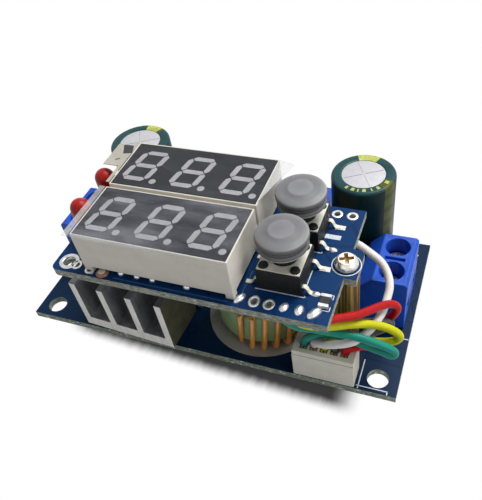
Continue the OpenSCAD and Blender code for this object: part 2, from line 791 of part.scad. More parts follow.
// pointed bar between two nodes of a digit
function seg(a, b) = let (d = unit(b - a), n = [-d[1], d[0]], h = seg_w / 2,
    p = a + d * seg_gap, q = b - d * seg_gap)
    [p, p + d * h + n * h, q - d * h + n * h, q, q - d * h - n * h, p + d * h - n * h];
seg_l = seg_w / 2;
seg_r = digit_w - seg_w / 2;
seg_lo = seg_w / 2;
seg_mid = digit_h / 2;
seg_hi = digit_h - seg_w / 2;
digit_bars = [
    [[seg_l, seg_lo], [seg_r, seg_lo]], [[seg_l, seg_mid], [seg_r, seg_mid]],
    [[seg_l, seg_hi], [seg_r, seg_hi]], [[seg_l, seg_lo], [seg_l, seg_mid]],
    [[seg_r, seg_lo], [seg_r, seg_mid]], [[seg_l, seg_mid], [seg_l, seg_hi]],
    [[seg_r, seg_mid], [seg_r, seg_hi]]];
module digits(grow) {
    for (y = disp_y, k = [0 : digit_n - 1])
        translate([disp_x - disp_len / 2 + digit_x0 + k * digit_pitch,
            y - disp_wid / 2 + digit_y0, z_face]) {
            for (b = digit_bars)
                linear_extrude(height = face_t + grow)
                    polygon([for (p = seg(b[0], b[1])) lean(p)]);
            translate([dot_pos[0], dot_pos[1], 0]) cylinder(h = face_t + grow, r = dot_r, $fn = 24);
        }
}
module display_segments() {
    color([0.7, 0.69, 0.72]) digits(0);
}
module display_faces() {
    color([0.3, 0.3, 0.33])
    difference() {
        for (y = disp_y)
            slab([disp_x, y, z_face], [disp_len - 2 * rim_w, disp_wid - 2 * rim_w, face_t]);
        digits(cut);
    }
}
module display_shell(y) {
    color([0.82, 0.8, 0.74])
    difference() {
        union() {
            slab([disp_x, y, z3 + foot_h], [disp_len, disp_wid, disp_h]);
            for (sx = [-1, 1], sy = [-1, 1])
                slab([disp_x + sx * (disp_len - foot_w) / 2, y + sy * (disp_wid - foot_w) / 2, z3],
                    [foot_w, foot_w, foot_h]);
        }
        slab([disp_x, y, z_face], [disp_len - 2 * rim_w, disp_wid - 2 * rim_w, disp_h]);
    }
}
module front_display() {
    display_shell(disp_y[0]);
}
module rear_display() {
    display_shell(disp_y[1]);
}
module display_pins() {
    color([0.8, 0.8, 0.8]) posts(disp_pts, pin_r, z2, z3 + foot_h);
}

// protective films on the displays: corners counted from the middle of each display
film_left = 12.15;
film_out = 11.1;
film_back = 4.8;
film_step = 0.4;
film_flare = 2.5;
film_skew = 1.9;
film_rise = 4.05;
pull_w = 5;
pull_len = 2.55;
film_pts = [
    [[-film_left, -5.5], [film_out, -5.5], [film_out, film_back], [-film_left, film_back]],
    [[film_step - film_left, -film_back], [film_out, -film_back],
        [film_out + film_flare, film_rise], [film_out, film_back], [film_step - film_left, film_back],
        [film_step - film_left, film_back - film_skew / 2],
        [film_step - film_left - pull_len, film_back - film_skew / 2],
        [film_step - film_left - pull_len, film_back - film_skew / 2 - pull_w],
        [film_step - film_left, film_back - film_skew / 2 - pull_w]]];
module display_films() {
    color([0.85, 0.86, 0.88, 0.4])
    for (k = [0, 1]) translate([disp_x, disp_y[k], disp_top])
        linear_extrude(height = film_t) polygon(film_pts[k]);
}

module status_lamps() {
    color([0.8, 0.08, 0.1])
    for (y = led_y) translate([led_x, y, z3 + led_lift]) {
        cylinder(h = led_rim_h, r = led_rim_r, $fn = 48);
        translate([0, 0, led_rim_h]) cylinder(h = led_h - led_rim_h - led_r, r = led_r, $fn = 48);
        translate([0, 0, led_h - led_r]) rotate_extrude($fn = 48)
            intersection() {
                circle(r = led_r, $fn = 48);
                square([led_r, led_r]);
            }
    }
}

// ---- push buttons ----

stud_pts = [for (sx = [-1, 1], sy = [-1, 1]) [sx * stud_off, sy * stud_off]];
module switch_body(y) {
    color([0.1, 0.1, 0.1])
    translate([sw_x, y, z3]) {
        difference() {
            slab([0, 0, 0], [sw_w, sw_w, sw_h]);
            translate([0, 0, well_z - z3]) cylinder(h = sw_h, r = well_r, $fn = 40);
        }
        posts(stud_pts, stud_r, sw_h, sw_h + plate_t + stud_h);
    }
}
module front_switch() {
    switch_body(sw_y[0]);
}
module rear_switch() {
    switch_body(sw_y[1]);
}
module switch_plates() {
    color([0.88, 0.86, 0.8])
    for (y = sw_y) translate([sw_x, y, 0])
        difference() {
            slab([0, 0, z3 + sw_h], [plate_w, plate_w, plate_t]);
            posts(concat(stud_pts), stud_r + slip, z3, z_plate + cut);
            posts([[0, 0]], plunger_r + slip, z3, z_plate + cut);
        }
}
module switch_leads() {
    color([0.82, 0.82, 0.82])
    for (y = sw_y, sx = [-1, 1], sy = [-1, 1])
        translate([sw_x, y + sy * sw_lead_y, z3]) {
            slab([sx * (sw_w / 2 + sw_lead_reach) / 2, 0, 0],
                [sw_lead_reach - sw_w / 2, sw_lead_w, sw_lead_t]);
            slab([sx * (sw_w + sw_lead_t) / 2, 0, sw_lead_t], [sw_lead_t, sw_lead_w, 1]);
        }
}
dome_ball = (well_r * well_r + dome_h * dome_h) / (2 * dome_h);
dome_t = 0.1;
module switch_domes() {
    color([0.8, 0.8, 0.82])
    for (y = sw_y) translate([sw_x, y, well_z]) {
        cylinder(h = dome_t, r = well_r - slip, $fn = 40);
        translate([0, 0, dome_t]) cylinder(h = dome_h - dome_t, r1 = well_r - 0.5, r2 = stem_r, $fn = 40);
    }
}
collar_z = z3 + sw_h - collar_t;
module plunger(y) {
    color([0.08, 0.08, 0.08])
    translate([sw_x, y, 0]) {
        posts([[0, 0]], stem_r, well_z + dome_h + dome_gap, collar_z);
        posts([[0, 0]], collar_r, collar_z, z3 + sw_h);
        posts([[0, 0]], plunger_r, z3 + sw_h, z_cap + cap_h / 2);
    }
}
module front_plunger() {
    plunger(sw_y[0]);
}
module rear_plunger() {
    plunger(sw_y[1]);
}
module button_cap(y) {
    r = cap_d / 2;
    color([0.6, 0.6, 0.6, 0.9])
    translate([sw_x, y, z_cap]) rotate_extrude($fn = 64)
        polygon([[plunger_r + slip, 0], [r - 0.25, 0], [r - 0.15, 0.15], [r - 0.15, 0.4],
            [r - 0.35, 0.7], [r - 0.35, 0.95], [r - 0.1, 1.25], [r, 1.6], [r, 1.95],
            [r - 0.15, 2.2], [r - 0.6, 2.4], [r - 1.6, 2.6], [0, cap_h], [0, cap_h / 2],
            [plunger_r + slip, cap_h / 2]]);
}
module front_cap() {
    button_cap(sw_y[0]);
}
module rear_cap() {
    button_cap(sw_y[1]);
}

// ---- fixings and solder ----

module spacers() {
    color([0.8, 0.65, 0.3])
    difference() {
        for (p = spacer_pos) translate([p[0], p[1], z1])
            cylinder(h = spacer_len, r = spacer_af / sqrt(3), $fn = 6);
        posts(spacer_pos, m2_r + slip, z1 - cut, z2 + cut);
    }
}
cross_w = 0.5;
cross_l = 2;
cross_d = 0.7;
module m2_screw() {
    cylinder(h = m2_len, r = m2_r, $fn = 32);
    translate([0, 0, m2_len])
        difference() {
            union() {
                cylinder(h = m2_head_h * 0.6, r = m2_head_r, $fn = 48);
                translate([0, 0, m2_head_h * 0.6])
                    cylinder(h = m2_head_h * 0.4, r1 = m2_head_r, r2 = m2_head_r * 0.7, $fn = 48);
            }
            for (a = [0, 90]) rotate([0, 0, a])
                slab([0, 0, m2_head_h - cross_d], [cross_l, cross_w, cross_d + cut]);
        }
}
module board_screws() {
    color([0.85, 0.82, 0.75])
    for (p = spacer_pos) {
        translate([p[0], p[1], z3 - m2_len]) m2_screw();
        translate([p[0], p[1], z0 + m2_len]) rotate([180, 0, 0]) m2_screw();
    }
}
module main_solder() {
    color([0.78, 0.78, 0.8]) {
        beads(concat(cap_pts, term_pts, coil_pts), solder_r, z0, tail_len);
        beads(concat(hdr_pts, trim_pts), hdr_pitch / 2 - slip, z0, tail_len * 0.8);
    }
}
bead_h = 0.6;
bead_r = 0.6;
solder_t = 0.1;
module display_solder() {
    color([0.82, 0.82, 0.84]) {
        beads(concat(disp_pts, led_pts), bead_r, z2, bead_h);
        posts(full_pads, pad_r - slip, z2, z3 + bead_h / 2);
        translate([white_pad[0], white_pad[1], z2 - solder_t])
            difference() {
                cylinder(h = solder_t, r = 2 * pad_r, $fn = 24);
                translate([0, 0, -cut])
                    cylinder(h = solder_t + 2 * cut, r = lead_d / 2 + slip, $fn = 24);
            }
    }
}
mcu_pos = [disp_x, disp_y[0]];
mcu_size = [6.4, 4.4, 1];
res_pos = [dx1 - 1.25, dy0 + 3.55];
module display_chips() {
    translate([mcu_pos[0], mcu_pos[1], 0]) rotate([0, 0, 90])
        chip([0, 0], [mcu_size[1], mcu_size[0], mcu_size[2]], -0.1, 10, 0.65, 0.5, z2);
    translate([res_pos[0], res_pos[1], z3]) rotate([0, 0, 90]) two_pad(small_size);
}

// ---- what is drawn ----

main_board();
display_board();
heatsink();
heatsink_glue();
regulator();
diode();
control_chips();
chip_parts();
inductor_core();
inductor_winding();
left_capacitor();
right_capacitor();
capacitor_sleeves();
part_leads();
left_terminal();
right_terminal();
terminal_bars();
trimmer_bodies();
header_shroud();
header_pins();
plug();
plug_contacts();
lead_green();
lead_yellow();
lead_white();
lead_black();
lead_red();
front_display();
rear_display();
display_faces();
display_segments();
display_pins();
display_films();
status_lamps();
front_switch();
rear_switch();
switch_plates();
switch_leads();
switch_domes();
spacers();
board_screws();
main_solder();
display_solder();
display_chips();
front_plunger();
rear_plunger();
front_cap();
rear_cap();
screw_left_front();
screw_left_rear();
screw_right_front();
screw_right_rear();
clamp_left_front();
clamp_left_rear();
clamp_right_front();
clamp_right_rear();
left_trimmer_screw();
right_trimmer_screw();
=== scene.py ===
import json
import math

import bmesh
import bpy
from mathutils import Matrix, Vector


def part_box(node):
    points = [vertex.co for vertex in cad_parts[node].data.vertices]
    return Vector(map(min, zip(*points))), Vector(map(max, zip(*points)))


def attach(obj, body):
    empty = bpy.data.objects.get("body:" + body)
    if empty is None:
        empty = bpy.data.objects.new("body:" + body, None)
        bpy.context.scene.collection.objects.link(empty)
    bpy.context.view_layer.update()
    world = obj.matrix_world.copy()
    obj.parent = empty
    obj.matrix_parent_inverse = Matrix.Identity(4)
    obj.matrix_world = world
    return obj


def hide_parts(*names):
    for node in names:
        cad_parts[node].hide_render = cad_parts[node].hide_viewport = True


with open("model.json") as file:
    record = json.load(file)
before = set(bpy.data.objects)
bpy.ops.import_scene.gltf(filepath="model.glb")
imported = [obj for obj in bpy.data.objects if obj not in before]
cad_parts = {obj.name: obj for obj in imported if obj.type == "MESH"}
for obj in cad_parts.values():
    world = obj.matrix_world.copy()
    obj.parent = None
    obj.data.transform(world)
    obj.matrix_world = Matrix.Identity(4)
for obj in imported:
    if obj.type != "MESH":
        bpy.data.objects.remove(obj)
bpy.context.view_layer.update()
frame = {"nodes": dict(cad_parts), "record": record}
MM = 0.001
NODES = frame["nodes"]
BODY_OF = {n: b for b, ns in frame["record"]["behaviour"]["bodies"].items() for n in ns}


def box(node):
    """Lowest and highest corner of a node, in millimetres."""
    lo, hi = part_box(node)
    return lo / MM, hi / MM


MAIN_LO, MAIN_HI = box("main_board")
DECK_LO, DECK_HI = box("display_board")
SHOWN_LO, SHOWN_HI = box("front_display")
REAR_LO, REAR_HI = box("rear_display")
DECK_LEN = 40.35        # the display board without the tab for its screw
DECK_END = DECK_LO.x + DECK_LEN


# ---------------------------------------------------------------- shader nodes

def new_material(name):
    m = bpy.data.materials.new(name)
    m.use_nodes = True
    nt = m.node_tree
    nt.nodes.clear()
    return m, nt, nt.nodes.new("ShaderNodeOutputMaterial")


def add(nt, kind, **values):
    n = nt.nodes.new(kind)
    for key, value in values.items():
        if key in n.inputs.keys():
            n.inputs[key].default_value = value
        else:
            setattr(n, key, value)
    return n


def shader_of(m):
    return next(n for n in m.node_tree.nodes if n.type == "BSDF_PRINCIPLED")


def coords(nt):
    return add(nt, "ShaderNodeTexCoord").outputs["Object"]


def scaled(nt, vector, scale, turn=0.0):
    """The vector stretched, then turned about Z."""
    n = add(nt, "ShaderNodeMapping", Scale=scale, Rotation=(0, 0, turn))
    nt.links.new(vector, n.inputs["Vector"])
    return n.outputs["Vector"]


def split(nt, vector):
    """The X, Y and Z of a vector."""
    n = add(nt, "ShaderNodeSeparateXYZ")
    nt.links.new(vector, n.inputs[0])
    return n.outputs


def facing(nt):
    """The X, Y and Z of the way that the surface faces."""
    return split(nt, add(nt, "ShaderNodeNewGeometry").outputs["Normal"])


def noise(nt, co, scale, detail=3.0, rough=0.55):
    n = add(nt, "ShaderNodeTexNoise", Scale=scale, Detail=detail, Roughness=rough)
    nt.links.new(co, n.inputs["Vector"])
    return n.outputs["Fac"]


def cells(nt, co, feature, scale, randomness):
    n = add(nt, "ShaderNodeTexVoronoi", feature=feature, Scale=scale, Randomness=randomness)
    nt.links.new(co, n.inputs["Vector"])
    return n.outputs["Distance"]


def ramp(nt, fac, stops):
    r = add(nt, "ShaderNodeValToRGB")
    while len(r.color_ramp.elements) < len(stops):
        r.color_ramp.elements.new(0.5)
    for e, (at, c) in zip(r.color_ramp.elements, stops):
        e.position = at
        e.color = (*c, 1)
    nt.links.new(fac, r.inputs["Fac"])
    return r.outputs["Color"]


def grey(v):
    return (v, v, v)


def tint(c, k):
    return tuple(min(1.0, x * k) for x in c)


def calc(nt, op, a, b=None):
    n = add(nt, "ShaderNodeMath", operation=op)
    for i, v in enumerate((a, b)):
        if v is None:
            continue
        if isinstance(v, (int, float)):
            n.inputs[i].default_value = v
        else:
            nt.links.new(v, n.inputs[i])
    return n.outputs[0]


def share(nt, value, start, span):
    """How far a value is on its way from start over span."""
    return calc(nt, "DIVIDE", calc(nt, "SUBTRACT", value, start), span)


def mix(nt, fac, a, b, blend="MIX"):
    n = add(nt, "ShaderNodeMix", data_type="RGBA", blend_type=blend)
    for sock, v in ((n.inputs["Factor"], fac), (n.inputs[6], a), (n.inputs[7], b)):
        if isinstance(v, (int, float)):
            sock.default_value = v
        elif isinstance(v, tuple):
            sock.default_value = (*v, 1)
        else:
            nt.links.new(v, sock)
    return n.outputs[2]


def mix_shaders(nt, fac, a, b, out):
    n = add(nt, "ShaderNodeMixShader")
    for sock, v in zip(n.inputs, (fac, a.outputs[0], b.outputs[0])):
        nt.links.new(v, sock)
    nt.links.new(n.outputs[0], out.inputs["Surface"])


def relief(nt, shader, height, strength, depth):
    """Lets a height from 0 to 1 raise the surface by up to depth, in millimetres."""
    n = add(nt, "ShaderNodeBump", Strength=strength, Distance=depth * MM)
    nt.links.new(height, n.inputs["Height"])
    nt.links.new(n.outputs["Normal"], shader.inputs["Normal"])


def backdrop_seen(nt):
    """1 for rays from the eye and for those off metal and glass, 0 for the rays that light things."""
    path = add(nt, "ShaderNodeLightPath")
    mirrored = calc(nt, "MAXIMUM", path.outputs["Is Glossy Ray"], path.outputs["Is Transmission Ray"])
    return calc(nt, "MAXIMUM", path.outputs["Is Camera Ray"], mirrored)


# ---------------------------------------------------------------- finishes

def surface(name, color, rough=0.5, metal=0.0, grain=(700, 0.12), bump=(2500, 0.02),
            stretch=(1, 1, 1), coat=0.0, glass=0.0, inner=0.0, spec=0.5):
    """A finish with grain in its colour, wear in its gloss and a fine relief.

    grain is (scale, strength), and bump is (scale, height in millimetres).
    """
    m, nt, out = new_material(name)
    b = add(nt, "ShaderNodeBsdfPrincipled", Metallic=metal, **{
        "Coat Weight": coat, "Coat Roughness": 0.12, "Transmission Weight": glass,
        "Subsurface Weight": inner, "Subsurface Radius": (0.0015, 0.0012, 0.001),
        "Subsurface Scale": 1.0, "Specular IOR Level": spec})
    co = scaled(nt, coords(nt), stretch)
    tones = [(0.3, tint(color, 1 - grain[1])), (0.7, tint(color, 1 + grain[1]))]
    nt.links.new(ramp(nt, noise(nt, co, grain[0]), tones), b.inputs["Base Color"])
    gloss = [(0.3, grey(max(rough - 0.08, 0.02))), (0.7, grey(min(rough + 0.08, 1)))]
    nt.links.new(ramp(nt, noise(nt, co, grain[0] * 2.3), gloss), b.inputs["Roughness"])
    relief(nt, b, noise(nt, co, bump[0]), 0.6, bump[1])
    nt.links.new(b.outputs[0], out.inputs["Surface"])
    return m


def board_finish(name, mask, pour, edge, glint_fleck_strength):
    """Solder mask over copper: pours, the gaps between them, tented holes, and bare board at the edges, whose
    palest flecks are painted glints.
    """
    m, nt, out = new_material(name)
    b = add(nt, "ShaderNodeBsdfPrincipled", **{"Specular IOR Level": 0.08})
    co = coords(nt)
    gap = ramp(nt, cells(nt, co, "DISTANCE_TO_EDGE", 190.0, 0.85), [(0.02, grey(0)), (0.035, grey(1))])
    top = mix(nt, gap, mask, pour)
    top = mix(nt, calc(nt, "MULTIPLY", noise(nt, co, 160, 2), 0.3), top, tint(pour, 1.35))
    holes = ramp(nt, cells(nt, co, "F1", 330.0, 1.0), [(0.07, grey(0.55)), (0.1, grey(0))])
    top = mix(nt, holes, top, tint(pour, 2.2))
    side = calc(nt, "LESS_THAN", calc(nt, "ABSOLUTE", facing(nt)["Z"]), 0.5)
    fibre = noise(nt, scaled(nt, co, (1, 1, 6)), 1100, 4, 0.7)
    # Bare board at the edges: fibre tone, whose palest end is painted glint.
    bare = ramp(nt, fibre, [(0.36, tint(edge, 0.45)), (0.52, edge), (0.60, tint(edge, 1.3)),
                            (0.67, tint(edge, 2.6))])
    # Pale flecks over the bare edges: painted glints along the rough cut.
    edge_glint_flecks = ramp(nt, noise(nt, co, 1250, 3, 0.5), [(0.59, grey(0)), (0.63, grey(glint_fleck_strength))])
    bare = mix(nt, edge_glint_flecks, bare, (0.80, 0.82, 0.80))
    nt.links.new(mix(nt, side, top, bare), b.inputs["Base Color"])
    nt.links.new(calc(nt, "ADD", calc(nt, "MULTIPLY", side, 0.35), 0.4), b.inputs["Roughness"])
    high = calc(nt, "ADD", calc(nt, "MULTIPLY", gap, 0.6), calc(nt, "MULTIPLY", fibre, side))
    relief(nt, b, high, 0.7, 0.03)
    nt.links.new(b.outputs[0], out.inputs["Surface"])
    return m


def film_finish(name, lo, hi):
    """Clear film: nearly unseen on the rear display, streaked on the front one, paler at its free ends. The
    streaks on the front one are partly a painted reflection, and the pale, more solid right end is painted
    glare.
    """
    m, nt, out = new_material(name)
    b = add(nt, "ShaderNodeBsdfPrincipled", Roughness=0.4, **{"Specular IOR Level": 0.25})
    co = coords(nt)
    cloud = noise(nt, scaled(nt, co, (0.5, 1.6, 1), 0.5), 190, 5, 0.6)
    at = split(nt, co)
    left = calc(nt, "LESS_THAN", at["X"], lo.x)
    right = calc(nt, "GREATER_THAN", at["X"], hi.x)
    back = calc(nt, "GREATER_THAN", at["Y"], hi.y)
    # Over the front display the film is streaked: partly film haze, partly a painted reflection.
    held = mix(nt, back, ramp(nt, cloud, [(0.36, grey(0.015)), (0.5, grey(0.06)), (0.64, grey(0.13))]),
               ramp(nt, cloud, [(0.4, grey(0.0)), (0.7, grey(0.02))]))
    tab = mix(nt, back, ramp(nt, cloud, [(0.35, grey(0.2)), (0.65, grey(0.34))]),
              ramp(nt, cloud, [(0.35, grey(0.72)), (0.65, grey(0.86))]))
    # Painted glare: the right end of the film is made more solid and pale.
    right_end_glare = ramp(nt, cloud, [(0.38, grey(0.26)), (0.65, grey(0.45))])
    tone = ramp(nt, cloud, [(0.3, (0.30, 0.33, 0.42)), (0.7, (0.62, 0.64, 0.68))])
    # Both free ends take a pale tone; at the right end this paleness is painted glare.
    tone = mix(nt, calc(nt, "MAXIMUM", left, right), tone, (0.74, 0.75, 0.73))
    tone = mix(nt, calc(nt, "MULTIPLY", left, back), tone, (0.50, 0.47, 0.40))
    nt.links.new(tone, b.inputs["Base Color"])
    relief(nt, b, cloud, 0.5, 0.1)
    solid = mix(nt, right, mix(nt, left, held, tab), right_end_glare)
    mix_shaders(nt, solid, add(nt, "ShaderNodeBsdfTransparent"), b, out)
    return m


def spacer_finish(name, foot):
    """Brass: dark and golden streaks along it, and a red tint towards its foot."""
    m = surface(name, (0.3, 0.2, 0.06), 0.34, 0.45, (900, 0.2), (1500, 0.03), (1, 1, 0.1), spec=0.4)
    nt = m.node_tree
    co = coords(nt)
    streak = ramp(nt, noise(nt, scaled(nt, co, (1, 1, 0.03)), 1100, 3, 0.6),
                  [(0.36, (0.035, 0.022, 0.010)), (0.47, (0.20, 0.115, 0.03)), (0.56, (0.52, 0.38, 0.12)),
                   (0.62, (0.16, 0.12, 0.035)), (0.7, (0.03, 0.03, 0.02))])
    up = share(nt, split(nt, co)["Z"], foot, 10 * MM)
    red = ramp(nt, up, [(0.25, grey(0.75)), (0.95, grey(0))])
    nt.links.new(mix(nt, red, streak, (0.13, 0.012, 0.006)), shader_of(m).inputs["Base Color"])
    return m


def cap_finish(name, centre, r, low, tall):
    """Frosted clear plastic with painted light: the dark plunger seen through is painted into the middle of
    the top, the skirt has painted shade in its waist and painted highlights on its rims, and tops and sides
    take separate tones by the way they face.
    """
    m = surface(name, (0.5, 0.5, 0.5), 0.42, grain=(900, 0.05), bump=(2500, 0.02), inner=0.1, spec=0.18)
    nt = m.node_tree
    co = coords(nt)
    at = split(nt, co)
    flat = add(nt, "ShaderNodeCombineXYZ")
    nt.links.new(calc(nt, "SUBTRACT", at["X"], centre.x), flat.inputs[0])
    nt.links.new(calc(nt, "SUBTRACT", at["Y"], centre.y), flat.inputs[1])
    far = add(nt, "ShaderNodeVectorMath", operation="LENGTH")
    nt.links.new(flat.outputs[0], far.inputs[0])
    # Top, by distance from the middle: the dark plunger seen through, and a painted highlight at the rim.
    over = ramp(nt, calc(nt, "DIVIDE", far.outputs["Value"], r),
                [(0.0, (0.22, 0.22, 0.235)), (0.44, (0.25, 0.25, 0.265)), (0.52, (0.17, 0.17, 0.18)),
                 (0.72, (0.19, 0.19, 0.20)), (0.88, (0.23, 0.23, 0.24)), (0.96, (0.34, 0.34, 0.34))])
    # Skirt, by height: painted highlights on the rims and painted shade in the waist.
    skirt_shade_and_highlight = ramp(nt, share(nt, at["Z"], low, tall),
                [(0.0, (0.55, 0.55, 0.53)), (0.06, (0.42, 0.42, 0.41)), (0.11, (0.10, 0.10, 0.10)),
                 (0.22, (0.05, 0.05, 0.052)), (0.36, (0.10, 0.10, 0.10)), (0.42, (0.24, 0.24, 0.24)),
                 (0.48, (0.05, 0.05, 0.052)), (0.66, (0.12, 0.12, 0.125)), (0.8, (0.2, 0.2, 0.21))])
    # Tops and sides get separate tones by the way they face: painted light.
    lid = ramp(nt, facing(nt)["Z"], [(0.3, grey(0)), (0.62, grey(1))])
    cloud = ramp(nt, noise(nt, co, 260, 3), [(0.3, grey(0.86)), (0.7, grey(1.1))])
    both = mix(nt, 1.0, mix(nt, lid, skirt_shade_and_highlight, over), cloud, "MULTIPLY")
    nt.links.new(both, shader_of(m).inputs["Base Color"])
    return m


def sleeve_finish(name, color, stripe, centre, turn, wide):
    """A sleeve with a worn stripe down its side, round the angle turn and wide radians each way, and painted
    shade on the parts that do not face up.
    """
    m = surface(name, color, 0.36, grain=(300, 0.15), bump=(1500, 0.01), coat=0.03, spec=0.12)
    nt = m.node_tree
    tone = shader_of(m).inputs["Base Color"]
    plain = tone.links[0].from_socket
    at = split(nt, coords(nt))
    dx = calc(nt, "SUBTRACT", at["X"], centre.x)
    dy = calc(nt, "SUBTRACT", at["Y"], centre.y)
    off = calc(nt, "ABSOLUTE", calc(nt, "SUBTRACT", calc(nt, "ARCTAN2", dy, dx), turn))
    dash = add(nt, "ShaderNodeTexWave", Scale=120.0, Distortion=0.4)
    dash.bands_direction = "Z"
    nt.links.new(coords(nt), dash.inputs["Vector"])
    worn = ramp(nt, dash.outputs["Fac"], [(0.2, grey(0.55)), (0.5, grey(1))])
    printed = calc(nt, "MULTIPLY", calc(nt, "LESS_THAN", off, wide), worn)
    # Painted shade: the sides are darkened, while the parts that face up keep the plain tone.
    over = ramp(nt, facing(nt)["Z"], [(0.15, grey(0)), (0.7, grey(1))])
    deep = mix(nt, over, mix(nt, 1.0, plain, (0.30, 0.34, 0.34), "MULTIPLY"), plain)
    nt.links.new(mix(nt, printed, deep, stripe), tone)
    return m


FINISH = {
    "main_board": board_finish("main_board_mask", (0.002, 0.012, 0.036), (0.0022, 0.017, 0.052),
                               (0.27, 0.31, 0.25), 0.7),
    "display_board": board_finish("display_board_mask", (0.002, 0.021, 0.080), (0.003, 0.031, 0.112),
                                  (0.30, 0.32, 0.27), 0.2),
    "anodised": surface("black_anodised", (0.15, 0.154, 0.160), 0.55, 0.0, (700, 0.35), (3000, 0.01),
                        (1, 1, 0.4)),
    # The right side of the heatsink: the anodised finish in an olive tone, painted light on that side.
    "olive": surface("anodised_painted_side_tone", (0.062, 0.062, 0.036), 0.55, 0.0, (500, 0.3), (3000, 0.01)),
    "cut_metal": surface("cut_aluminium", (0.90, 0.88, 0.84), 0.55, 0.0, (1800, 0.1), (2500, 0.03),
                         (1, 1, 0.2)),
    "glue": surface("heat_glue", (0.62, 0.61, 0.57), 0.6, grain=(900, 0.2), bump=(900, 0.1)),
    "chip": surface("moulded_black", (0.02, 0.02, 0.022), 0.5, grain=(2500, 0.3), spec=0.25),
    "tin": surface("tinned_metal", (0.80, 0.78, 0.72), 0.32, 0.75, (1800, 0.15)),
    "solder": surface("solder", (0.60, 0.60, 0.61), 0.32, 0.8, (1500, 0.15), (1800, 0.04)),
    "core": surface("core_enamel", (0.22, 0.32, 0.14), 0.5, grain=(500, 0.15), bump=(1500, 0.05)),
    "copper": surface("winding_enamel", (0.62, 0.27, 0.05), 0.35, 0.1, (600, 0.12), (900, 0.01), coat=0.3),
    "can": surface("can_aluminium", (0.48, 0.476, 0.505), 0.5, 0.1, (900, 0.05), (2500, 0.01)),
    "line": surface("vent_line", (0.16, 0.16, 0.18), 0.6),
    "blue": surface("terminal_blue", (0.009, 0.072, 0.46), 0.45, grain=(600, 0.1), bump=(2500, 0.015),
                    spec=0.25),
    "trimmer": surface("trimmer_blue", (0.008, 0.065, 0.42), 0.42),
    "steel": surface("screw_steel", (0.74, 0.70, 0.63), 0.28, 0.8, (2500, 0.08), (3000, 0.006)),
    "brass": surface("brass", (0.26, 0.155, 0.045), 0.35, 0.5, (1300, 0.75), (1500, 0.05), (1, 1, 0.06)),
    "spacer": spacer_finish("spacer_brass", MAIN_HI.z * MM),
    "nylon": surface("nylon", (0.67, 0.645, 0.56), 0.5, grain=(500, 0.06), inner=0.15),
    "cream": surface("housing_cream", (0.68, 0.645, 0.575), 0.6, grain=(400, 0.05), bump=(3000, 0.015)),
    "face": surface("face_ink", (0.036, 0.037, 0.042), 0.5, grain=(300, 0.12), bump=(3500, 0.008), spec=0.05),
    "segment": surface("segment_resin", (0.36, 0.35, 0.365), 0.5, grain=(900, 0.1), bump=(3000, 0.01),
                       spec=0.1),
    "film": film_finish("clear_film", SHOWN_LO * MM, SHOWN_HI * MM),
    "lamp": surface("lamp_red", (0.40, 0.010, 0.008), 0.38, grain=(400, 0.15), bump=(600, 0.01),
                    glass=0.1, inner=0.2, spec=0.2),
    "black": surface("switch_black", (0.010, 0.010, 0.011), 0.5, grain=(1500, 0.3), spec=0.2),
    "plate": surface("switch_plate", (0.70, 0.69, 0.60), 0.45, 0.15, (900, 0.1), (2500, 0.01)),
    "leg": surface("leg_tin", (0.76, 0.73, 0.60), 0.35, 0.1, (1500, 0.12), (1800, 0.02)),
    "pad": surface("pad_tin", (0.66, 0.66, 0.66), 0.35, 0.25, (1500, 0.2), (1800, 0.04)),
    "mouth": surface("mouth_shade", (0.07, 0.055, 0.035), 0.6),
    "seam": surface("seam_shade", (0.22, 0.21, 0.18), 0.7),
    "trace": surface("trace_blue", (0.03, 0.10, 0.25), 0.5, spec=0.2),
    "golden": surface("recess_golden", (0.50, 0.36, 0.17), 0.3, 0.6, (1500, 0.3), (2500, 0.02)),
    "print": surface("print_white", (0.55, 0.60, 0.66), 0.6, grain=(3000, 0.2)),
    # White print in a darker tone: painted shade on the disc under the ring core.
    "disc": surface("print_disc_painted_shade", (0.34, 0.325, 0.29), 0.7, grain=(400, 0.15)),
    "mark": surface("print_yellow", (0.42, 0.46, 0.08), 0.45, grain=(1800, 0.25)),
    "flux": surface("flux_brown", (0.24, 0.09, 0.05), 0.35, grain=(1500, 0.4)),
    "dark": surface("dark_patch_tone", (0.012, 0.012, 0.014), 0.6),
}
LEAD_FINISH = {
    "lead_green": surface("lead_green_sleeve", (0.003, 0.21, 0.155), 0.45, grain=(500, 0.1), spec=0.25),
    "lead_yellow": surface("lead_yellow_sleeve", (0.54, 0.53, 0.002), 0.5, grain=(500, 0.08), spec=0.25),
    "lead_white": surface("lead_white_sleeve", (0.74, 0.72, 0.70), 0.5, grain=(500, 0.05)),
    "lead_black": surface("lead_black_sleeve", (0.02, 0.02, 0.02), 0.35, grain=(500, 0.2)),
    "lead_red": surface("lead_red_sleeve", (0.42, 0.004, 0.006), 0.45, grain=(500, 0.1), spec=0.2),
}


# ---------------------------------------------------------------- shapes, in millimetres

def new_object(name, data):
    o = bpy.data.objects.new(name, data)
    bpy.context.collection.objects.link(o)
    return o


def new_mesh(name, bm, mats):
    mesh = bpy.data.meshes.new(name)
    bm.to_mesh(mesh)
    bm.free()
    for m in mats:
        mesh.materials.append(m)
    return mesh


def place(name, bm, finishes, node=None, angle=35):
    """Makes a piece of bm, which stands for a CAD node on its body, or lies on the base.

    Finishes are names in FINISH or materials.
    """
    bm.normal_update()
    mesh = new_mesh(name, bm, [FINISH.get(f, f) for f in finishes])
    for p in mesh.polygons:
        p.use_smooth = True
    mesh.set_sharp_from_angle(angle=math.radians(angle))
    o = new_object(name, mesh)
    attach(o, BODY_OF[node] if node else "base")
    if node:
        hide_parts(node)
    return o


def keep(node, finish):
    """Shows the CAD node itself in a finish."""
    NODES[node].data.materials.clear()
    NODES[node].data.materials.append(FINISH[finish])


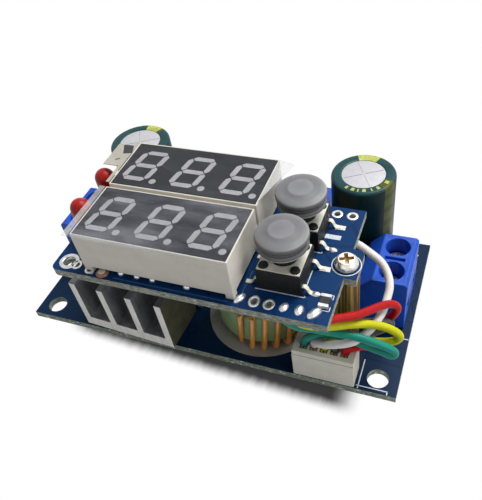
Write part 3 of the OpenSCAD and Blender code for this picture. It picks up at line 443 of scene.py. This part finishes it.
def welded(node):
    """A copy of the CAD node's mesh, with its faces joined at their corners."""
    bm = bmesh.new()
    bm.from_mesh(NODES[node].data)
    bmesh.ops.remove_doubles(bm, verts=bm.verts, dist=1e-7)
    return bm


def soften(node, finishes, width, pick=None):
    """The CAD node's own shape with its edges rounded and its parts in their own finishes."""
    bm = welded(node)
    bmesh.ops.dissolve_limit(bm, angle_limit=math.radians(1), verts=bm.verts, edges=bm.edges)
    if pick:
        for f in bm.faces:
            f.material_index = pick(f.calc_center_median() / MM, f.normal)
    o = place(node + "_form", bm, finishes, node)
    if width:
        bevel = o.modifiers.new("edges", "BEVEL")
        bevel.width = width * MM
        bevel.segments = 2
        bevel.limit_method = "ANGLE"
        bevel.angle_limit = math.radians(40)
        bevel.use_clamp_overlap = False
        bevel.harden_normals = True


def circle(n):
    return [2 * math.pi * k / n for k in range(n)]


def vert(bm, x, y, z):
    return bm.verts.new((x * MM, y * MM, z * MM))


def hoop(bm, centre, r, z, sides):
    """The corners of a level circle; a radius of 0 gives one corner that stands for all."""
    if r == 0:
        return [vert(bm, centre[0], centre[1], z)] * sides
    return [vert(bm, centre[0] + r * math.cos(t), centre[1] + r * math.sin(t), z) for t in circle(sides)]


def skin(bm, rows, index=0):
    """Faces between neighbouring closed rows; a corner that repeats in a face is taken once."""
    for a, b in zip(rows, rows[1:]):
        for k in range(len(a)):
            j = (k + 1) % len(a)
            corners = list(dict.fromkeys((a[k], a[j], b[j], b[k])))
            if len(corners) > 2:
                bm.faces.new(corners).material_index = index


def lathe(bm, centre, profile, sides=48, index=0):
    """Revolves (radius, height) pairs about an upright axis; a radius of 0 closes the end."""
    skin(bm, [hoop(bm, centre, r, z, sides) for r, z in profile], index)


def oval(bm, centre, rx, ry, z, profile, turn=0.0, index=0):
    """Open rings of an oval form: profile gives (share of the radius, height) pairs."""
    c, s = math.cos(turn), math.sin(turn)
    rows = []
    for k, h in profile:
        rows.append([])
        for u, v in ((k * rx * math.cos(t), k * ry * math.sin(t)) for t in circle(32)):
            rows[-1].append(vert(bm, centre[0] + u * c - v * s, centre[1] + u * s + v * c, z + h))
    skin(bm, rows, index)


def block(bm, lo, hi, index=0):
    corners = [vert(bm, x, y, z) for z in (lo[2], hi[2]) for y in (lo[1], hi[1]) for x in (lo[0], hi[0])]
    for q in ((0, 2, 3, 1), (4, 5, 7, 6), (0, 1, 5, 4), (2, 6, 7, 3), (0, 4, 6, 2), (1, 3, 7, 5)):
        bm.faces.new([corners[i] for i in q]).material_index = index


def strip(bm, a, b, wide, z, high=0.015, index=0):
    """A printed line from a to b that stands a little proud of a face at z."""
    a, b = Vector(a), Vector(b)
    n = (b - a).normalized().orthogonal() * (wide / 2)
    low = [vert(bm, p.x, p.y, z) for p in (a + n, a - n, b - n, b + n)]
    up = [bm.verts.new(v.co + Vector((0, 0, high * MM))) for v in low]
    for f in [up[::-1], low] + [[low[i], up[i], up[(i + 1) % 4], low[(i + 1) % 4]] for i in range(4)]:
        bm.faces.new(f).material_index = index
    bmesh.ops.recalc_face_normals(bm, faces=bm.faces)


def spline(pts, steps):
    """A smooth line through the points."""
    p = [2 * pts[0] - pts[1], *pts, 2 * pts[-1] - pts[-2]]
    out = []
    for i in range(1, len(p) - 2):
        a, b, c, d = p[i - 1:i + 3]
        for t in (k / steps for k in range(steps)):
            out.append(0.5 * (2 * b + (c - a) * t + (2 * a - 5 * b + 4 * c - d) * t * t
                              + (3 * b - a - 3 * c + d) * t ** 3))
    return out + [pts[-1]]


def sweep(bm, pts, r, sides, flat=1.0, across=(1, 0, 0)):
    """A closed tube along pts in metres; flat squeezes it into a strip that lies in the direction across."""
    u = Vector(across)
    rows = []
    for i, p in enumerate(pts):
        t = (pts[min(i + 1, len(pts) - 1)] - pts[max(i - 1, 0)]).normalized()
        u = u - u.dot(t) * t
        if u.length < 1e-6:
            u = t.orthogonal()
        u.normalize()
        v = t.cross(u)
        rows.append([bm.verts.new(p + r * MM * (math.cos(a) * u + flat * math.sin(a) * v))
                     for a in circle(sides)])
    skin(bm, rows)
    bm.faces.new(rows[0][::-1])
    bm.faces.new(rows[-1])


def islands(node):
    """Lowest and highest corner of each separate solid of a node, in millimetres."""
    bm = welded(node)
    found, seen = [], set()
    for v in bm.verts:
        if v in seen:
            continue
        group, todo = [], [v]
        seen.add(v)
        while todo:
            w = todo.pop()
            group.append(w.co / MM)
            for o in (e.other_vert(w) for e in w.link_edges):
                if o not in seen:
                    seen.add(o)
                    todo.append(o)
        found.append((Vector(map(min, zip(*group))), Vector(map(max, zip(*group)))))
    bm.free()
    return found


def centreline(node, sides=8):
    """The middle of each ring of a swept CAD tube, from its upper end on, in metres."""
    bm = welded(node)
    top = max(v.co.z for v in bm.verts)
    ring = [v for v in bm.verts if v.co.z > top - 1e-6][:sides]
    seen, line = set(ring), []
    while ring:
        line.append(sum((v.co for v in ring), Vector()) / len(ring))
        after = []
        for o in (e.other_vert(v) for v in ring for e in v.link_edges):
            if o not in seen:
                seen.add(o)
                after.append(o)
        ring = after
    bm.free()
    return line


def middle(lo, hi):
    """The middle of a box, and half its length along X."""
    return (lo + hi) / 2, (hi.x - lo.x) / 2


# ---------------------------------------------------------------- main board and power parts

def plain_nodes():
    """The CAD nodes whose shape is right as it is."""
    for n in ("main_board", "display_board"):
        keep(n, n)
    for n in ("part_leads", "header_pins", "display_pins", "terminal_bars"):
        keep(n, "tin")
    keep("heatsink_glue", "glue")
    keep("switch_domes", "plate")
    keep("plug_contacts", "brass")


def main_print():
    """The disc under the ring core, white print in a darker tone as painted shade, and the white lines round
    the front right corner hole.
    """
    top, right, front = MAIN_HI.z, MAIN_HI.x, MAIN_LO.y
    disc_r, proud = 9.6, 0.02
    bm = bmesh.new()
    centre, _ = middle(*box("inductor_core"))
    lathe(bm, centre, [(0, top + proud), (disc_r, top + proud), (disc_r, top), (0, top)], 96, 1)
    for a, b in (((right - 5.62, front + 0.1), (right - 5.62, front + 5.3)),
                 ((right - 5.95, front + 0.62), (right - 1.28, front + 0.62)),
                 ((right - 1.36, front + 0.62), (right - 1.36, front + 0.05)),
                 ((right - 0.85, front + 10.5), (right - 0.05, front + 10.5))):
        strip(bm, a, b, 0.16, top, proud)
    place("main_print", bm, ["print", "disc"])


def power_parts():
    """Heatsink with bare fin ends and an olive right side, whose tone is painted light on that side, and the
    black parts with their tinned ends.
    """
    side = box("heatsink")[1].x - 2
    tab_top = box("regulator")[0].z + 1.35
    leg_top = box("diode")[0].z + 0.39
    # The right side gets the olive tone by the way it faces: painted light.
    soften("heatsink", ["anodised", "cut_metal", "olive"], 0.12,
           lambda c, n: 1 if n.y < -0.9 else 2 if n.x > 0.9 and c.x > side else 0)
    soften("regulator", ["chip", "tin"], 0.06, lambda c, n: 1 if c.z < tab_top else 0)
    soften("diode", ["chip", "tin"], 0.06, lambda c, n: 1 if c.z < leg_top else 0)
    for n in ("control_chips", "chip_parts", "display_chips"):
        soften(n, ["chip", "tin"], 0.03)


def inductor():
    soften("inductor_core", ["core"], 0)
    bm = bmesh.new()
    sweep(bm, spline(centreline("inductor_winding"), 3), 0.42, 12)
    place("winding", bm, ["copper"], "inductor_winding")


# ---------------------------------------------------------------- capacitors

def shoulder(r, z):
    """The shoulder of a sleeve, from its side to the edge of the vent."""
    return [(r, z - 0.5), (r - 0.04, z - 0.3), (r - 0.15, z - 0.13), (r - 0.32, z - 0.03), (r - 0.5, z),
            (r - 1.3, z), (r - 1.55, z - 0.03), (r - 1.66, z - 0.1)]


def sleeves(cans):
    """Shrunk sleeves with the can's groove near the foot, open over the vent."""
    bm = bmesh.new()
    finishes = []
    for i, (lo, hi) in enumerate(cans):
        c, r = middle(lo, hi)
        foot, top = lo.z, hi.z
        groove = [(r, foot + 1.1), (r - 0.12, foot + 1.35), (r - 0.22, foot + 1.6), (r - 0.12, foot + 1.85),
                  (r, foot + 2.1)]
        lathe(bm, c, [(r - 0.6, foot), (r - 0.1, foot + 0.05), (r, foot + 0.2)] + groove + shoulder(r, top)
              + [(r - 1.66, top - 0.4), (r - 0.9, top - 0.4), (r - 0.6, foot)], 96, i)
        finishes.append(sleeve_finish("sleeve_%d" % i, (0.013, 0.055, 0.060), (0.075, 0.085, 0.018), c * MM,
                                      -0.42 if c.x > 0 else 1.2, 0.24))
    place("sleeves", bm, finishes, "capacitor_sleeves")


def patch(bm, c, profile, start, wide, lift=0.012):
    """Print that follows a profile of the sleeve from the angle start over wide radians."""
    n = max(2, int(wide / 0.06))
    rows = [[vert(bm, c.x + (r + lift) * math.cos(a), c.y + (r + lift) * math.sin(a), z + lift)
             for a in (start + wide * k / n for k in range(n + 1))] for r, z in profile]
    for a, b in zip(rows, rows[1:]):
        for k in range(n):
            bm.faces.new((a[k], a[k + 1], b[k + 1], b[k]))


def sleeve_print(cans):
    """The broad mark over each shoulder, and plain ticks on the right can."""
    bm = bmesh.new()
    for lo, hi in cans:
        c, r = middle(lo, hi)
        if c.x < 0:
            patch(bm, c, shoulder(r, hi.z), 1.1, 0.62)
            continue
        patch(bm, c, shoulder(r, hi.z), 1.19, 0.8)
        for a, wide in ((-2.06, 0.10), (-1.82, 0.13), (-1.58, 0.05), (-1.40, 0.13), (-1.08, 0.05),
                        (-0.86, 0.12), (-0.42, 0.16)):
            patch(bm, c, [(r - 0.62, hi.z), (r - 1.28, hi.z)], a, wide)
    place("sleeve_print", bm, ["mark"])


def can_tops():
    """The bare tops of the cans, each with a crossed vent score."""
    for n in ("left_capacitor", "right_capacitor"):
        c, can_r = middle(*box(n))
        r, z = can_r - 1.3, box(n)[1].z
        bm = bmesh.new()
        lathe(bm, c, [(r + 0.3, z - 0.25), (r, z - 0.02), (r - 0.25, z + 0.03), (0, z + 0.03), (0, z - 0.3),
                      (r + 0.3, z - 0.3)], 72)
        for turn, wide in ((0.51, 0.11), (0.51 + math.pi / 2, 0.05)):
            d = Vector((math.cos(turn), math.sin(turn)))
            for k in (-1, 1):
                strip(bm, c.xy + d * 0.25 * k, c.xy + d * (r - 0.35) * k, wide, z + 0.03, 0.008, 1)
        place(n + "_vent", bm, ["can", "line"], n)


# ---------------------------------------------------------------- terminals, trimmers, plug and leads

def terminals():
    for side in ("left", "right"):
        soften(side + "_terminal", ["blue"], 0.14)
    for side in ("left", "right"):
        for end in ("front", "rear"):
            soften("screw_%s_%s" % (side, end), ["steel"], 0.1)
            soften("clamp_%s_%s" % (side, end), ["tin"], 0.08)
        soften(side + "_trimmer_screw", ["brass"], 0.06)
    soften("trimmer_bodies", ["trimmer"], 0.15)


def plug():
    """The header and its plug, with dark blocks of painted shade for the wire mouths, the sockets' edges in
    them and a seam in front.
    """
    for n in ("header_shroud", "plug"):
        soften(n, ["nylon"], 0.1)
    lo, hi = box("plug")
    y, z = (lo.y + hi.y) / 2, hi.z
    bm = bmesh.new()
    for n in LEAD_FINISH:
        x = centreline(n)[-1].x / MM
        # Painted shade: a dark block stands for the shade in each wire mouth.
        block(bm, (x - 0.56, y - 1.02, z - 0.02), (x + 0.56, y - 0.34, z + 0.012), 0)
        block(bm, (x - 0.38, y - 0.92, z), (x - 0.16, y - 0.6, z + 0.05), 1)
        block(bm, (x + 0.2, y - 0.96, z), (x + 0.36, y - 0.7, z + 0.04), 1)
    block(bm, (lo.x + 0.05, lo.y - 0.012, z - 0.95), (hi.x - 0.05, lo.y + 0.02, z - 0.87), 2)
    place("plug_mouths", bm, ["mouth", "golden", "seam"])


def leads():
    for n, finish in LEAD_FINISH.items():
        bm = bmesh.new()
        sweep(bm, spline(centreline(n), 5), 0.575, 18)
        place(n + "_sleeve", bm, [finish], n)


# ---------------------------------------------------------------- displays, lamps and buttons

def displays():
    for n in ("front_display", "rear_display"):
        soften(n, ["cream"], 0.12)
    soften("display_faces", ["face"], 0.02)
    soften("display_segments", ["segment"], 0.02)


def films():
    """The CAD films with their undersides lifted a little clear of the displays."""
    bm = bmesh.new()
    bm.from_mesh(NODES["display_films"].data)
    low = min(v.co.z for v in bm.verts)
    for v in bm.verts:
        if v.co.z < low + 0.01 * MM:
            v.co.z += 0.04 * MM
    place("film_sheets", bm, ["film"], "display_films")


def lamps():
    """Round-topped lamps of 3 mm on their flanges."""
    r, flange_r = 1.5, 1.9
    bm = bmesh.new()
    for lo, hi in islands("status_lamps"):
        z = lo.z
        dome = [(r * math.cos(a), hi.z - r + r * math.sin(a)) for a in (math.pi / 16 * k for k in range(8))]
        flange = [(0, z), (flange_r, z), (flange_r, z + 0.9), (flange_r - 0.1, z + 1), (r, z + 1)]
        lathe(bm, middle(lo, hi)[0], flange + dome + [(0, hi.z)], 40)
    place("lamp_domes", bm, ["lamp"], "status_lamps")


def cap(end):
    """A frosted cap: a skirt that flares to a rounded rim, a waist, and a low dome, hollow below."""
    lo, hi = box(end + "_cap")
    c, r = middle(lo, hi)
    z, tall, bore = lo.z, hi.z - lo.z, 1.82
    skirt = [(0.28, 0), (0.17, 0.06), (0.12, 0.2), (0.14, 0.4), (0.3, 0.6), (0.36, 0.8), (0.3, 1.0)]
    crown = [(0.1, 1.25), (0.02, 1.45), (0, 1.7), (0.03, 1.95), (0.15, 2.18), (0.4, 2.36), (0.9, 2.46),
             (1.35, 2.5), (1.6, 2.6), (1.9, 2.66)]
    bm = bmesh.new()
    lathe(bm, c, [(bore, z)] + [(r - inset, z + h) for inset, h in skirt + crown]
          + [(0, z + tall), (0, z + 1.37), (bore, z + 1.37), (bore, z)], 72)
    frosted = cap_finish(end + "_cap_frosted_painted_light", c * MM, r * MM, z * MM, tall * MM)
    place(end + "_cap_form", bm, [frosted], end + "_cap")


def buttons():
    for end in ("front", "rear"):
        soften(end + "_switch", ["black"], 0.08)
    soften("switch_plates", ["plate"], 0.04)
    for end in ("front", "rear"):
        soften(end + "_plunger", ["black"], 0.08)
        cap(end)


def switch_legs():
    """Flat legs that come out of the housings, bend down and lie on their pads."""
    centre, _ = middle(*box("front_switch"))
    bm = bmesh.new()
    for lo, hi in islands("switch_leads"):
        s = 1 if lo.x > centre.x else -1
        near, far = (lo.x, hi.x) if s > 0 else (hi.x, lo.x)
        y, z = (lo.y + hi.y) / 2, lo.z
        path = [Vector((x, y, h)) * MM for x, h in
                ((near, z + 1.15), (near + s * 0.35, z + 1.15), (near + s * 0.62, z + 0.8),
                 (near + s * 0.8, z + 0.35), (near + s * 1.1, z + 0.12), (far, z + 0.1))]
        sweep(bm, spline(path, 4), 0.34, 12, 0.3, (0, 1, 0))
    place("switch_legs", bm, ["leg"], "switch_leads")


# ---------------------------------------------------------------- spacers and screws

def cross(bm, c, z, shrink):
    """The outline of a crossed recess, whose arms shrink towards its foot."""
    half, reach, turn = 0.27, 0.96, 0.35
    out = []
    for a in (k * math.pi / 2 + turn for k in range(4)):
        d = Vector((math.cos(a), math.sin(a)))
        n = Vector((-d.y, d.x))
        arm, side = d * reach * shrink, n * half * shrink
        for q in (d * half - n * half, arm - side, arm + side):
            out.append(vert(bm, c.x + q.x, c.y + q.y, z))
    return out


def pan_screw(bm, lo, hi):
    """A pan head with a crossed recess, and the shank; heads lie on the deck or under the main board."""
    up = hi.z > DECK_HI.z
    s = 1 if up else -1
    c, r = middle(lo, hi)
    seat, tip = ((hi.z, lo.z) if up else (lo.z, hi.z))
    seat -= s * 1.3
    shank_r, rim, flat = 0.95, (r - 0.32, seat + s * 1.1), (r - 0.5, seat + s * 1.24)
    lathe(bm, c, [(0, tip), (shank_r, tip), (shank_r, seat), (r - 0.06, seat), (r, seat + s * 0.1),
                  (r, seat + s * 0.45), (r - 0.06, seat + s * 0.7), (r - 0.17, seat + s * 0.93), rim])
    mouth = cross(bm, c, flat[1], 1.0)
    foot = cross(bm, c, seat + s * 0.5, 0.8)
    edge, face = hoop(bm, c, *rim, 48), hoop(bm, c, *flat, 48)
    skin(bm, [edge, face])
    bounds = [bm.edges.get((face[k - 1], face[k])) for k in range(len(face))]
    bounds += [bm.edges.new((mouth[k - 1], mouth[k])) for k in range(len(mouth))]
    bmesh.ops.triangle_fill(bm, use_beauty=True, edges=bounds)
    skin(bm, [mouth, foot], 1)
    bm.faces.new(foot).material_index = 1


def fixings():
    soften("spacers", ["spacer"], 0.08)
    bm = bmesh.new()
    for lo, hi in islands("board_screws"):
        pan_screw(bm, lo, hi)
    bmesh.ops.remove_doubles(bm, verts=bm.verts, dist=1e-8)
    bmesh.ops.recalc_face_normals(bm, faces=bm.faces)
    place("pan_screws", bm, ["steel", "golden"], "board_screws", angle=30)


# ---------------------------------------------------------------- solder and print

DOME = [(1, 0), (0.97, 0.1), (0.86, 0.24), (0.66, 0.37), (0.4, 0.45), (0.15, 0.48), (0.01, 0.485)]
EYELET = [(1, 0), (0.98, 0.05), (0.9, 0.07), (0.62, 0.07), (0.55, 0.03), (0.54, -0.3)]
WIDE_EYELET = [(1, 0), (0.98, 0.05), (0.92, 0.07), (0.68, 0.07), (0.62, 0.02), (0.6, -0.4)]


def lower(profile, k):
    return [(r, h * k) for r, h in profile]


def hanging_drop(bm, lo, hi, z, deep):
    """A drop of solder under a board at z, over the span of a CAD drop."""
    c, r = middle(lo, hi)
    lathe(bm, c, [(0, z), (r, z), (r * 0.98, z - deep * 0.12), (r * 0.8, z - deep * 0.45),
                  (r * 0.5, z - deep * 0.8), (r * 0.25, z - deep * 0.95), (0, z - deep)], 24)


def main_solder():
    bm = bmesh.new()
    for lo, hi in islands("main_solder"):
        hanging_drop(bm, lo, hi, hi.z, hi.z - lo.z)
    bmesh.ops.recalc_face_normals(bm, faces=bm.faces)
    place("main_solder_drops", bm, ["solder"], "main_solder")


def top_joints():
    """Middles of the solder joints on top of the display board, from the left."""
    joints = (middle(lo, hi)[0] for lo, hi in islands("display_solder") if hi.z > DECK_HI.z + 0.1)
    return sorted(joints, key=lambda c: c.x)


def display_solder(joints):
    """Drops under the display board, and the smeared ones on top of it."""
    bm = bmesh.new()
    for lo, hi in islands("display_solder"):
        if hi.z < DECK_LO.z + 0.05:
            hanging_drop(bm, lo, hi, DECK_LO.z, min(hi.z - lo.z, 0.6))
    bmesh.ops.recalc_face_normals(bm, faces=bm.faces)
    shapes = ((0.5, 1.0, -0.5, 1.0), (0.58, 0.8, -0.35, 0.9), (0.6, 0.85, -0.1, 1.0), (0.62, 1.15, -0.6, 1.2))
    for c, (rx, ry, turn, k) in zip(joints, shapes):
        oval(bm, c, rx, ry, DECK_HI.z + 0.01, lower(DOME, k), turn)
    place("display_solder_drops", bm, ["solder"], "display_solder")


def display_pads(joints, plates):
    """Rings round the empty holes of the display board, the switches' pads, and the display legs' joints."""
    z, front, left = DECK_HI.z, DECK_LO.y, DECK_LO.x
    pitch = (joints[1].x - joints[0].x) / 3
    row, corner = front + 1.5, front + 19.7
    bm = bmesh.new()
    for x, y, rx, ry in ((joints[0].x + pitch, row, 0.78, 0.98), (joints[0].x + 2 * pitch, row, 0.78, 0.92),
                         (DECK_END - 3.85, corner, 0.82, 0.82), (DECK_END - 1.65, corner, 0.82, 0.82),
                         (left + 3.6, front + 1.55, 0.75, 0.85), (left + 5.95, front + 1.25, 0.72, 0.85)):
        oval(bm, (x, y), rx, ry, z + 0.005, EYELET)
    oval(bm, (left + 2.1, front + 1.9), 1.5, 1.45, z + 0.005, WIDE_EYELET)
    for lo, hi in plates:
        x, y = hi.x + 1.8, (lo.y + hi.y) / 2
        block(bm, (x - 0.7, y + 1.78, z + 0.005), (x + 0.7, y + 2.62, z + 0.06), 1)
        oval(bm, (x, y - 2.25), 0.72, 0.45, z + 0.01, lower(DOME, 0.6))
    for x, rx, ry in ((5.45, 0.44, 0.36), (7.95, 0.44, 0.36), (10.35, 0.44, 0.36), (15.5, 0.52, 0.4)):
        oval(bm, (SHOWN_LO.x + x, row), rx, ry, z + 0.01, DOME)
    place("display_pads", bm, ["solder", "pad"])


def display_print(plates):
    """White lines and bare pads, the copper seen under the mask, and the flux round one joint."""
    z, front, left = DECK_HI.z + 0.002, DECK_LO.y, SHOWN_LO.x
    copper = 3
    bm = bmesh.new()
    beside = plates[0][1].x + 0.1
    strip(bm, (beside, front + 15.05), (beside + 2.25, front + 15.05), 0.85, z)
    strip(bm, (left + 1.15, front + 0.45), (left + 1.15, front + 1.9), 0.5, z)
    for lo, hi in plates:
        c, _ = middle(lo, hi)
        strip(bm, (c.x - 3.3, c.y - 3.15), (c.x + 3.4, c.y - 3.15), 0.16, z)
        strip(bm, (c.x + 3.4, c.y - 3.15), (c.x + 3.4, c.y - 2.9), 0.16, z)
    strip(bm, (left + 4.65, front + 0.6), (SHOWN_HI.x - 0.75, front + 0.6), 0.16, z, 0.01, copper)
    strip(bm, (SHOWN_HI.x + 0.55, front + 0.6), (SHOWN_HI.x + 0.55, front + 6.4), 0.12, z, 0.01, copper)
    near = min((middle(lo, hi)[0] for lo, hi in plates), key=lambda c: c.y)
    strip(bm, (near.x + 3.1, near.y - 1.4), (near.x + 3.1, near.y + 1.6), 0.13, z)
    x, y = DECK_END - 1.25, front + 3.55
    for k in (-1, 1):
        strip(bm, (x - 0.85, y + 1.3 * k), (x + 0.85, y + 1.3 * k), 0.12, z)
        strip(bm, (x + 0.85, y + 1.3 * k), (x + 0.85, y + 0.6 * k), 0.12, z)
    for lo, hi in islands("board_screws"):
        if hi.z > DECK_HI.z:
            oval(bm, middle(lo, hi)[0], 2.0, 2.0, z, [(1, 0), (1, 0.015), (0.93, 0.015), (0.93, 0)])
    joint = (left + 2.75, front + 1.0)
    oval(bm, joint, 0.95, 0.9, z, [(1, 0), (0.98, 0.12), (0.8, 0.3), (0.6, 0.36)], index=1)
    oval(bm, joint, 0.6, 0.56, z, [(1, 0.34), (0.6, 0.4), (0.01, 0.42)], index=2)
    place("display_print", bm, ["print", "flux", "nylon", "trace"])


def resistor_ends():
    """The tinned ends of the chip resistor on top of the display board."""
    lo, hi = next(q for q in islands("display_chips") if q[0].z > DECK_HI.z - 0.1)
    bm = bmesh.new()
    for y0, y1 in ((lo.y - 0.02, lo.y + 0.42), (hi.y - 0.42, hi.y + 0.02)):
        block(bm, (lo.x - 0.02, y0, lo.z), (hi.x + 0.02, y1, hi.z + 0.02))
    place("resistor_ends", bm, ["pad"])


def film_dark_marks():
    """A flat dark patch and a small dark line laid on the pull tab of the rear film."""
    x, y, z = REAR_LO.x, REAR_HI.y, box("display_films")[1].z
    bm = bmesh.new()
    patch_at = ((-2.15, -1.25), (-0.5, -1.15), (0.2, -2.95), (-1.2, -3.3))
    bm.faces.new([vert(bm, x + u, y + v, z + 0.01) for u, v in reversed(patch_at)])
    strip(bm, (x - 1.7, y - 4.9), (x - 1.1, y - 4.5), 0.22, z + 0.002, 0.008)
    bmesh.ops.recalc_face_normals(bm, faces=bm.faces)
    place("film_dark_marks", bm, ["dark"])


def build():
    cans, plates, joints = islands("capacitor_sleeves"), islands("switch_plates"), top_joints()
    plain_nodes()
    main_print()
    power_parts()
    inductor()
    sleeves(cans)
    sleeve_print(cans)
    can_tops()
    terminals()
    plug()
    leads()
    displays()
    films()
    lamps()
    buttons()
    switch_legs()
    fixings()
    main_solder()
    display_solder(joints)
    display_pads(joints, plates)
    display_print(plates)
    resistor_ends()
    film_dark_marks()


build()


# ---------------------------------------------------------------- camera, light and floor

def set_camera():
    data = bpy.data.cameras.new("camera")
    data.sensor_fit = "HORIZONTAL"
    data.sensor_width = 36
    data.lens = 43.82
    data.shift_x, data.shift_y = -0.0364, 0.0383
    data.clip_start, data.clip_end = 0.002, 5
    o = new_object("camera", data)
    o.location = (0.03561, DECK_LO.y * MM - 0.04105, 0.07823)
    o.rotation_euler = [math.radians(a) for a in (42.980, 6.473, 19.730)]
    bpy.context.scene.camera = o
    return o


def lamp(name, at, aim_z, size, power):
    """A rectangle of light that looks at the middle of the object, aim_z above the floor."""
    data = bpy.data.lights.new(name, "AREA")
    data.shape = "RECTANGLE"
    data.size, data.size_y = size
    data.energy = power
    o = new_object(name, data)
    o.location = at
    o.rotation_euler = (Vector((0, 0, aim_z)) - Vector(at)).to_track_quat("-Z", "Y").to_euler()


def studio_world():
    """A dim sky that lights the object, and white where the backdrop is seen."""
    world = bpy.data.worlds.new("studio")
    bpy.context.scene.world = world
    world.use_nodes = True
    nt = world.node_tree
    nt.nodes.clear()
    out = nt.nodes.new("ShaderNodeOutputWorld")
    sky = add(nt, "ShaderNodeBackground", Strength=0.16, Color=(0.92, 0.96, 1, 1))
    white = add(nt, "ShaderNodeBackground", Strength=1.0, Color=(1, 1, 1, 1))
    mix_shaders(nt, backdrop_seen(nt), sky, white, out)


def stage(name, bm, m):
    new_object(name, new_mesh(name, bm, [m]))


def fade(nt, value, a, b):
    """1 at a, 0 at b, both in millimetres."""
    span = add(nt, "ShaderNodeMapRange", clamp=True, **{"From Min": b * MM, "From Max": a * MM})
    span.interpolation_type = "SMOOTHSTEP"
    nt.links.new(value, span.inputs["Value"])
    return span.outputs["Result"]


def floor_finish():
    """White floor with a ragged dark shadow in front of the board, which leans a little to the right."""
    m, nt, out = new_material("floor_white")
    spot = coords(nt)
    at = split(nt, spot)
    grain = noise(nt, scaled(nt, spot, (1, 0.2, 1)), 900, 3)
    ragged = calc(nt, "MULTIPLY", calc(nt, "SUBTRACT", grain, 0.5), 0.6 * MM)
    lean = calc(nt, "ADD", calc(nt, "ADD", at["Y"], calc(nt, "MULTIPLY", at["X"], 0.055)), ragged)
    # Painted shadow: the floor darkens by where it lies in front of the board, not by the lamps.
    deep = calc(nt, "MULTIPLY", fade(nt, at["X"], MAIN_LO.x + 11, MAIN_LO.x + 5),
                fade(nt, calc(nt, "ADD", at["X"], ragged), MAIN_HI.x - 9.5, MAIN_HI.x - 4.5))
    deep = calc(nt, "MULTIPLY", deep, fade(nt, lean, MAIN_LO.y + 0.3, MAIN_LO.y - 2.3))
    deep = calc(nt, "MULTIPLY", deep, fade(nt, at["Y"], MAIN_HI.y - 5, MAIN_HI.y - 1))
    # Painted shade: ambient occlusion darkens the floor close round the object.
    shut = add(nt, "ShaderNodeAmbientOcclusion", Distance=0.006)
    shut.samples = 16
    near = ramp(nt, shut.outputs["AO"], [(0.3, grey(0.75)), (0.9, grey(1))])
    white = (1, 1, 1)
    glow = add(nt, "ShaderNodeEmission")
    shadow = mix(nt, 1.0, mix(nt, deep, white, (0.05, 0.05, 0.052)), mix(nt, deep, white, near), "MULTIPLY")
    nt.links.new(shadow, glow.inputs["Color"])
    plain = add(nt, "ShaderNodeBsdfDiffuse", Color=(0.55, 0.55, 0.55, 1))
    mix_shaders(nt, backdrop_seen(nt), plain, glow, out)
    return m


def floor():
    bm = bmesh.new()
    bmesh.ops.create_grid(bm, x_segments=1, y_segments=1, size=1.5)
    stage("floor", bm, floor_finish())


def glowing_hole_discs(eye):
    """Glowing white discs on the floor, where the eye looks through the two corner holes in front: painted
    light over the shade under the board there.
    """
    m, nt, out = new_material("hole_glow_white")
    glow = add(nt, "ShaderNodeEmission", Color=(1, 1, 1, 1))
    nt.links.new(glow.outputs[0], out.inputs["Surface"])
    bm = bmesh.new()
    for x in (MAIN_LO.x + 3.1, MAIN_HI.x - 3.1):
        hole = Vector((x, MAIN_LO.y + 2.5, MAIN_HI.z))
        ray = hole - eye
        seen = hole + ray * ((0.1 - hole.z) / ray.z)
        lathe(bm, seen, [(2.1, 0.1), (0, 0.1)], 40)
    stage("hole_glow_discs", bm, m)


camera = set_camera()
lamp("key", (0.13, 0.20, 0.42), 0.02, (0.26, 0.22), 2.55)
lamp("fill", (0.50, -0.14, 0.24), 0.02, (0.35, 0.35), 1.15)
lamp("front", (-0.10, -0.50, 0.16), 0.01, (0.4, 0.3), 0.2)
studio_world()
floor()
glowing_hole_discs(camera.location / MM)
bpy.context.scene.view_settings.view_transform = "Standard"
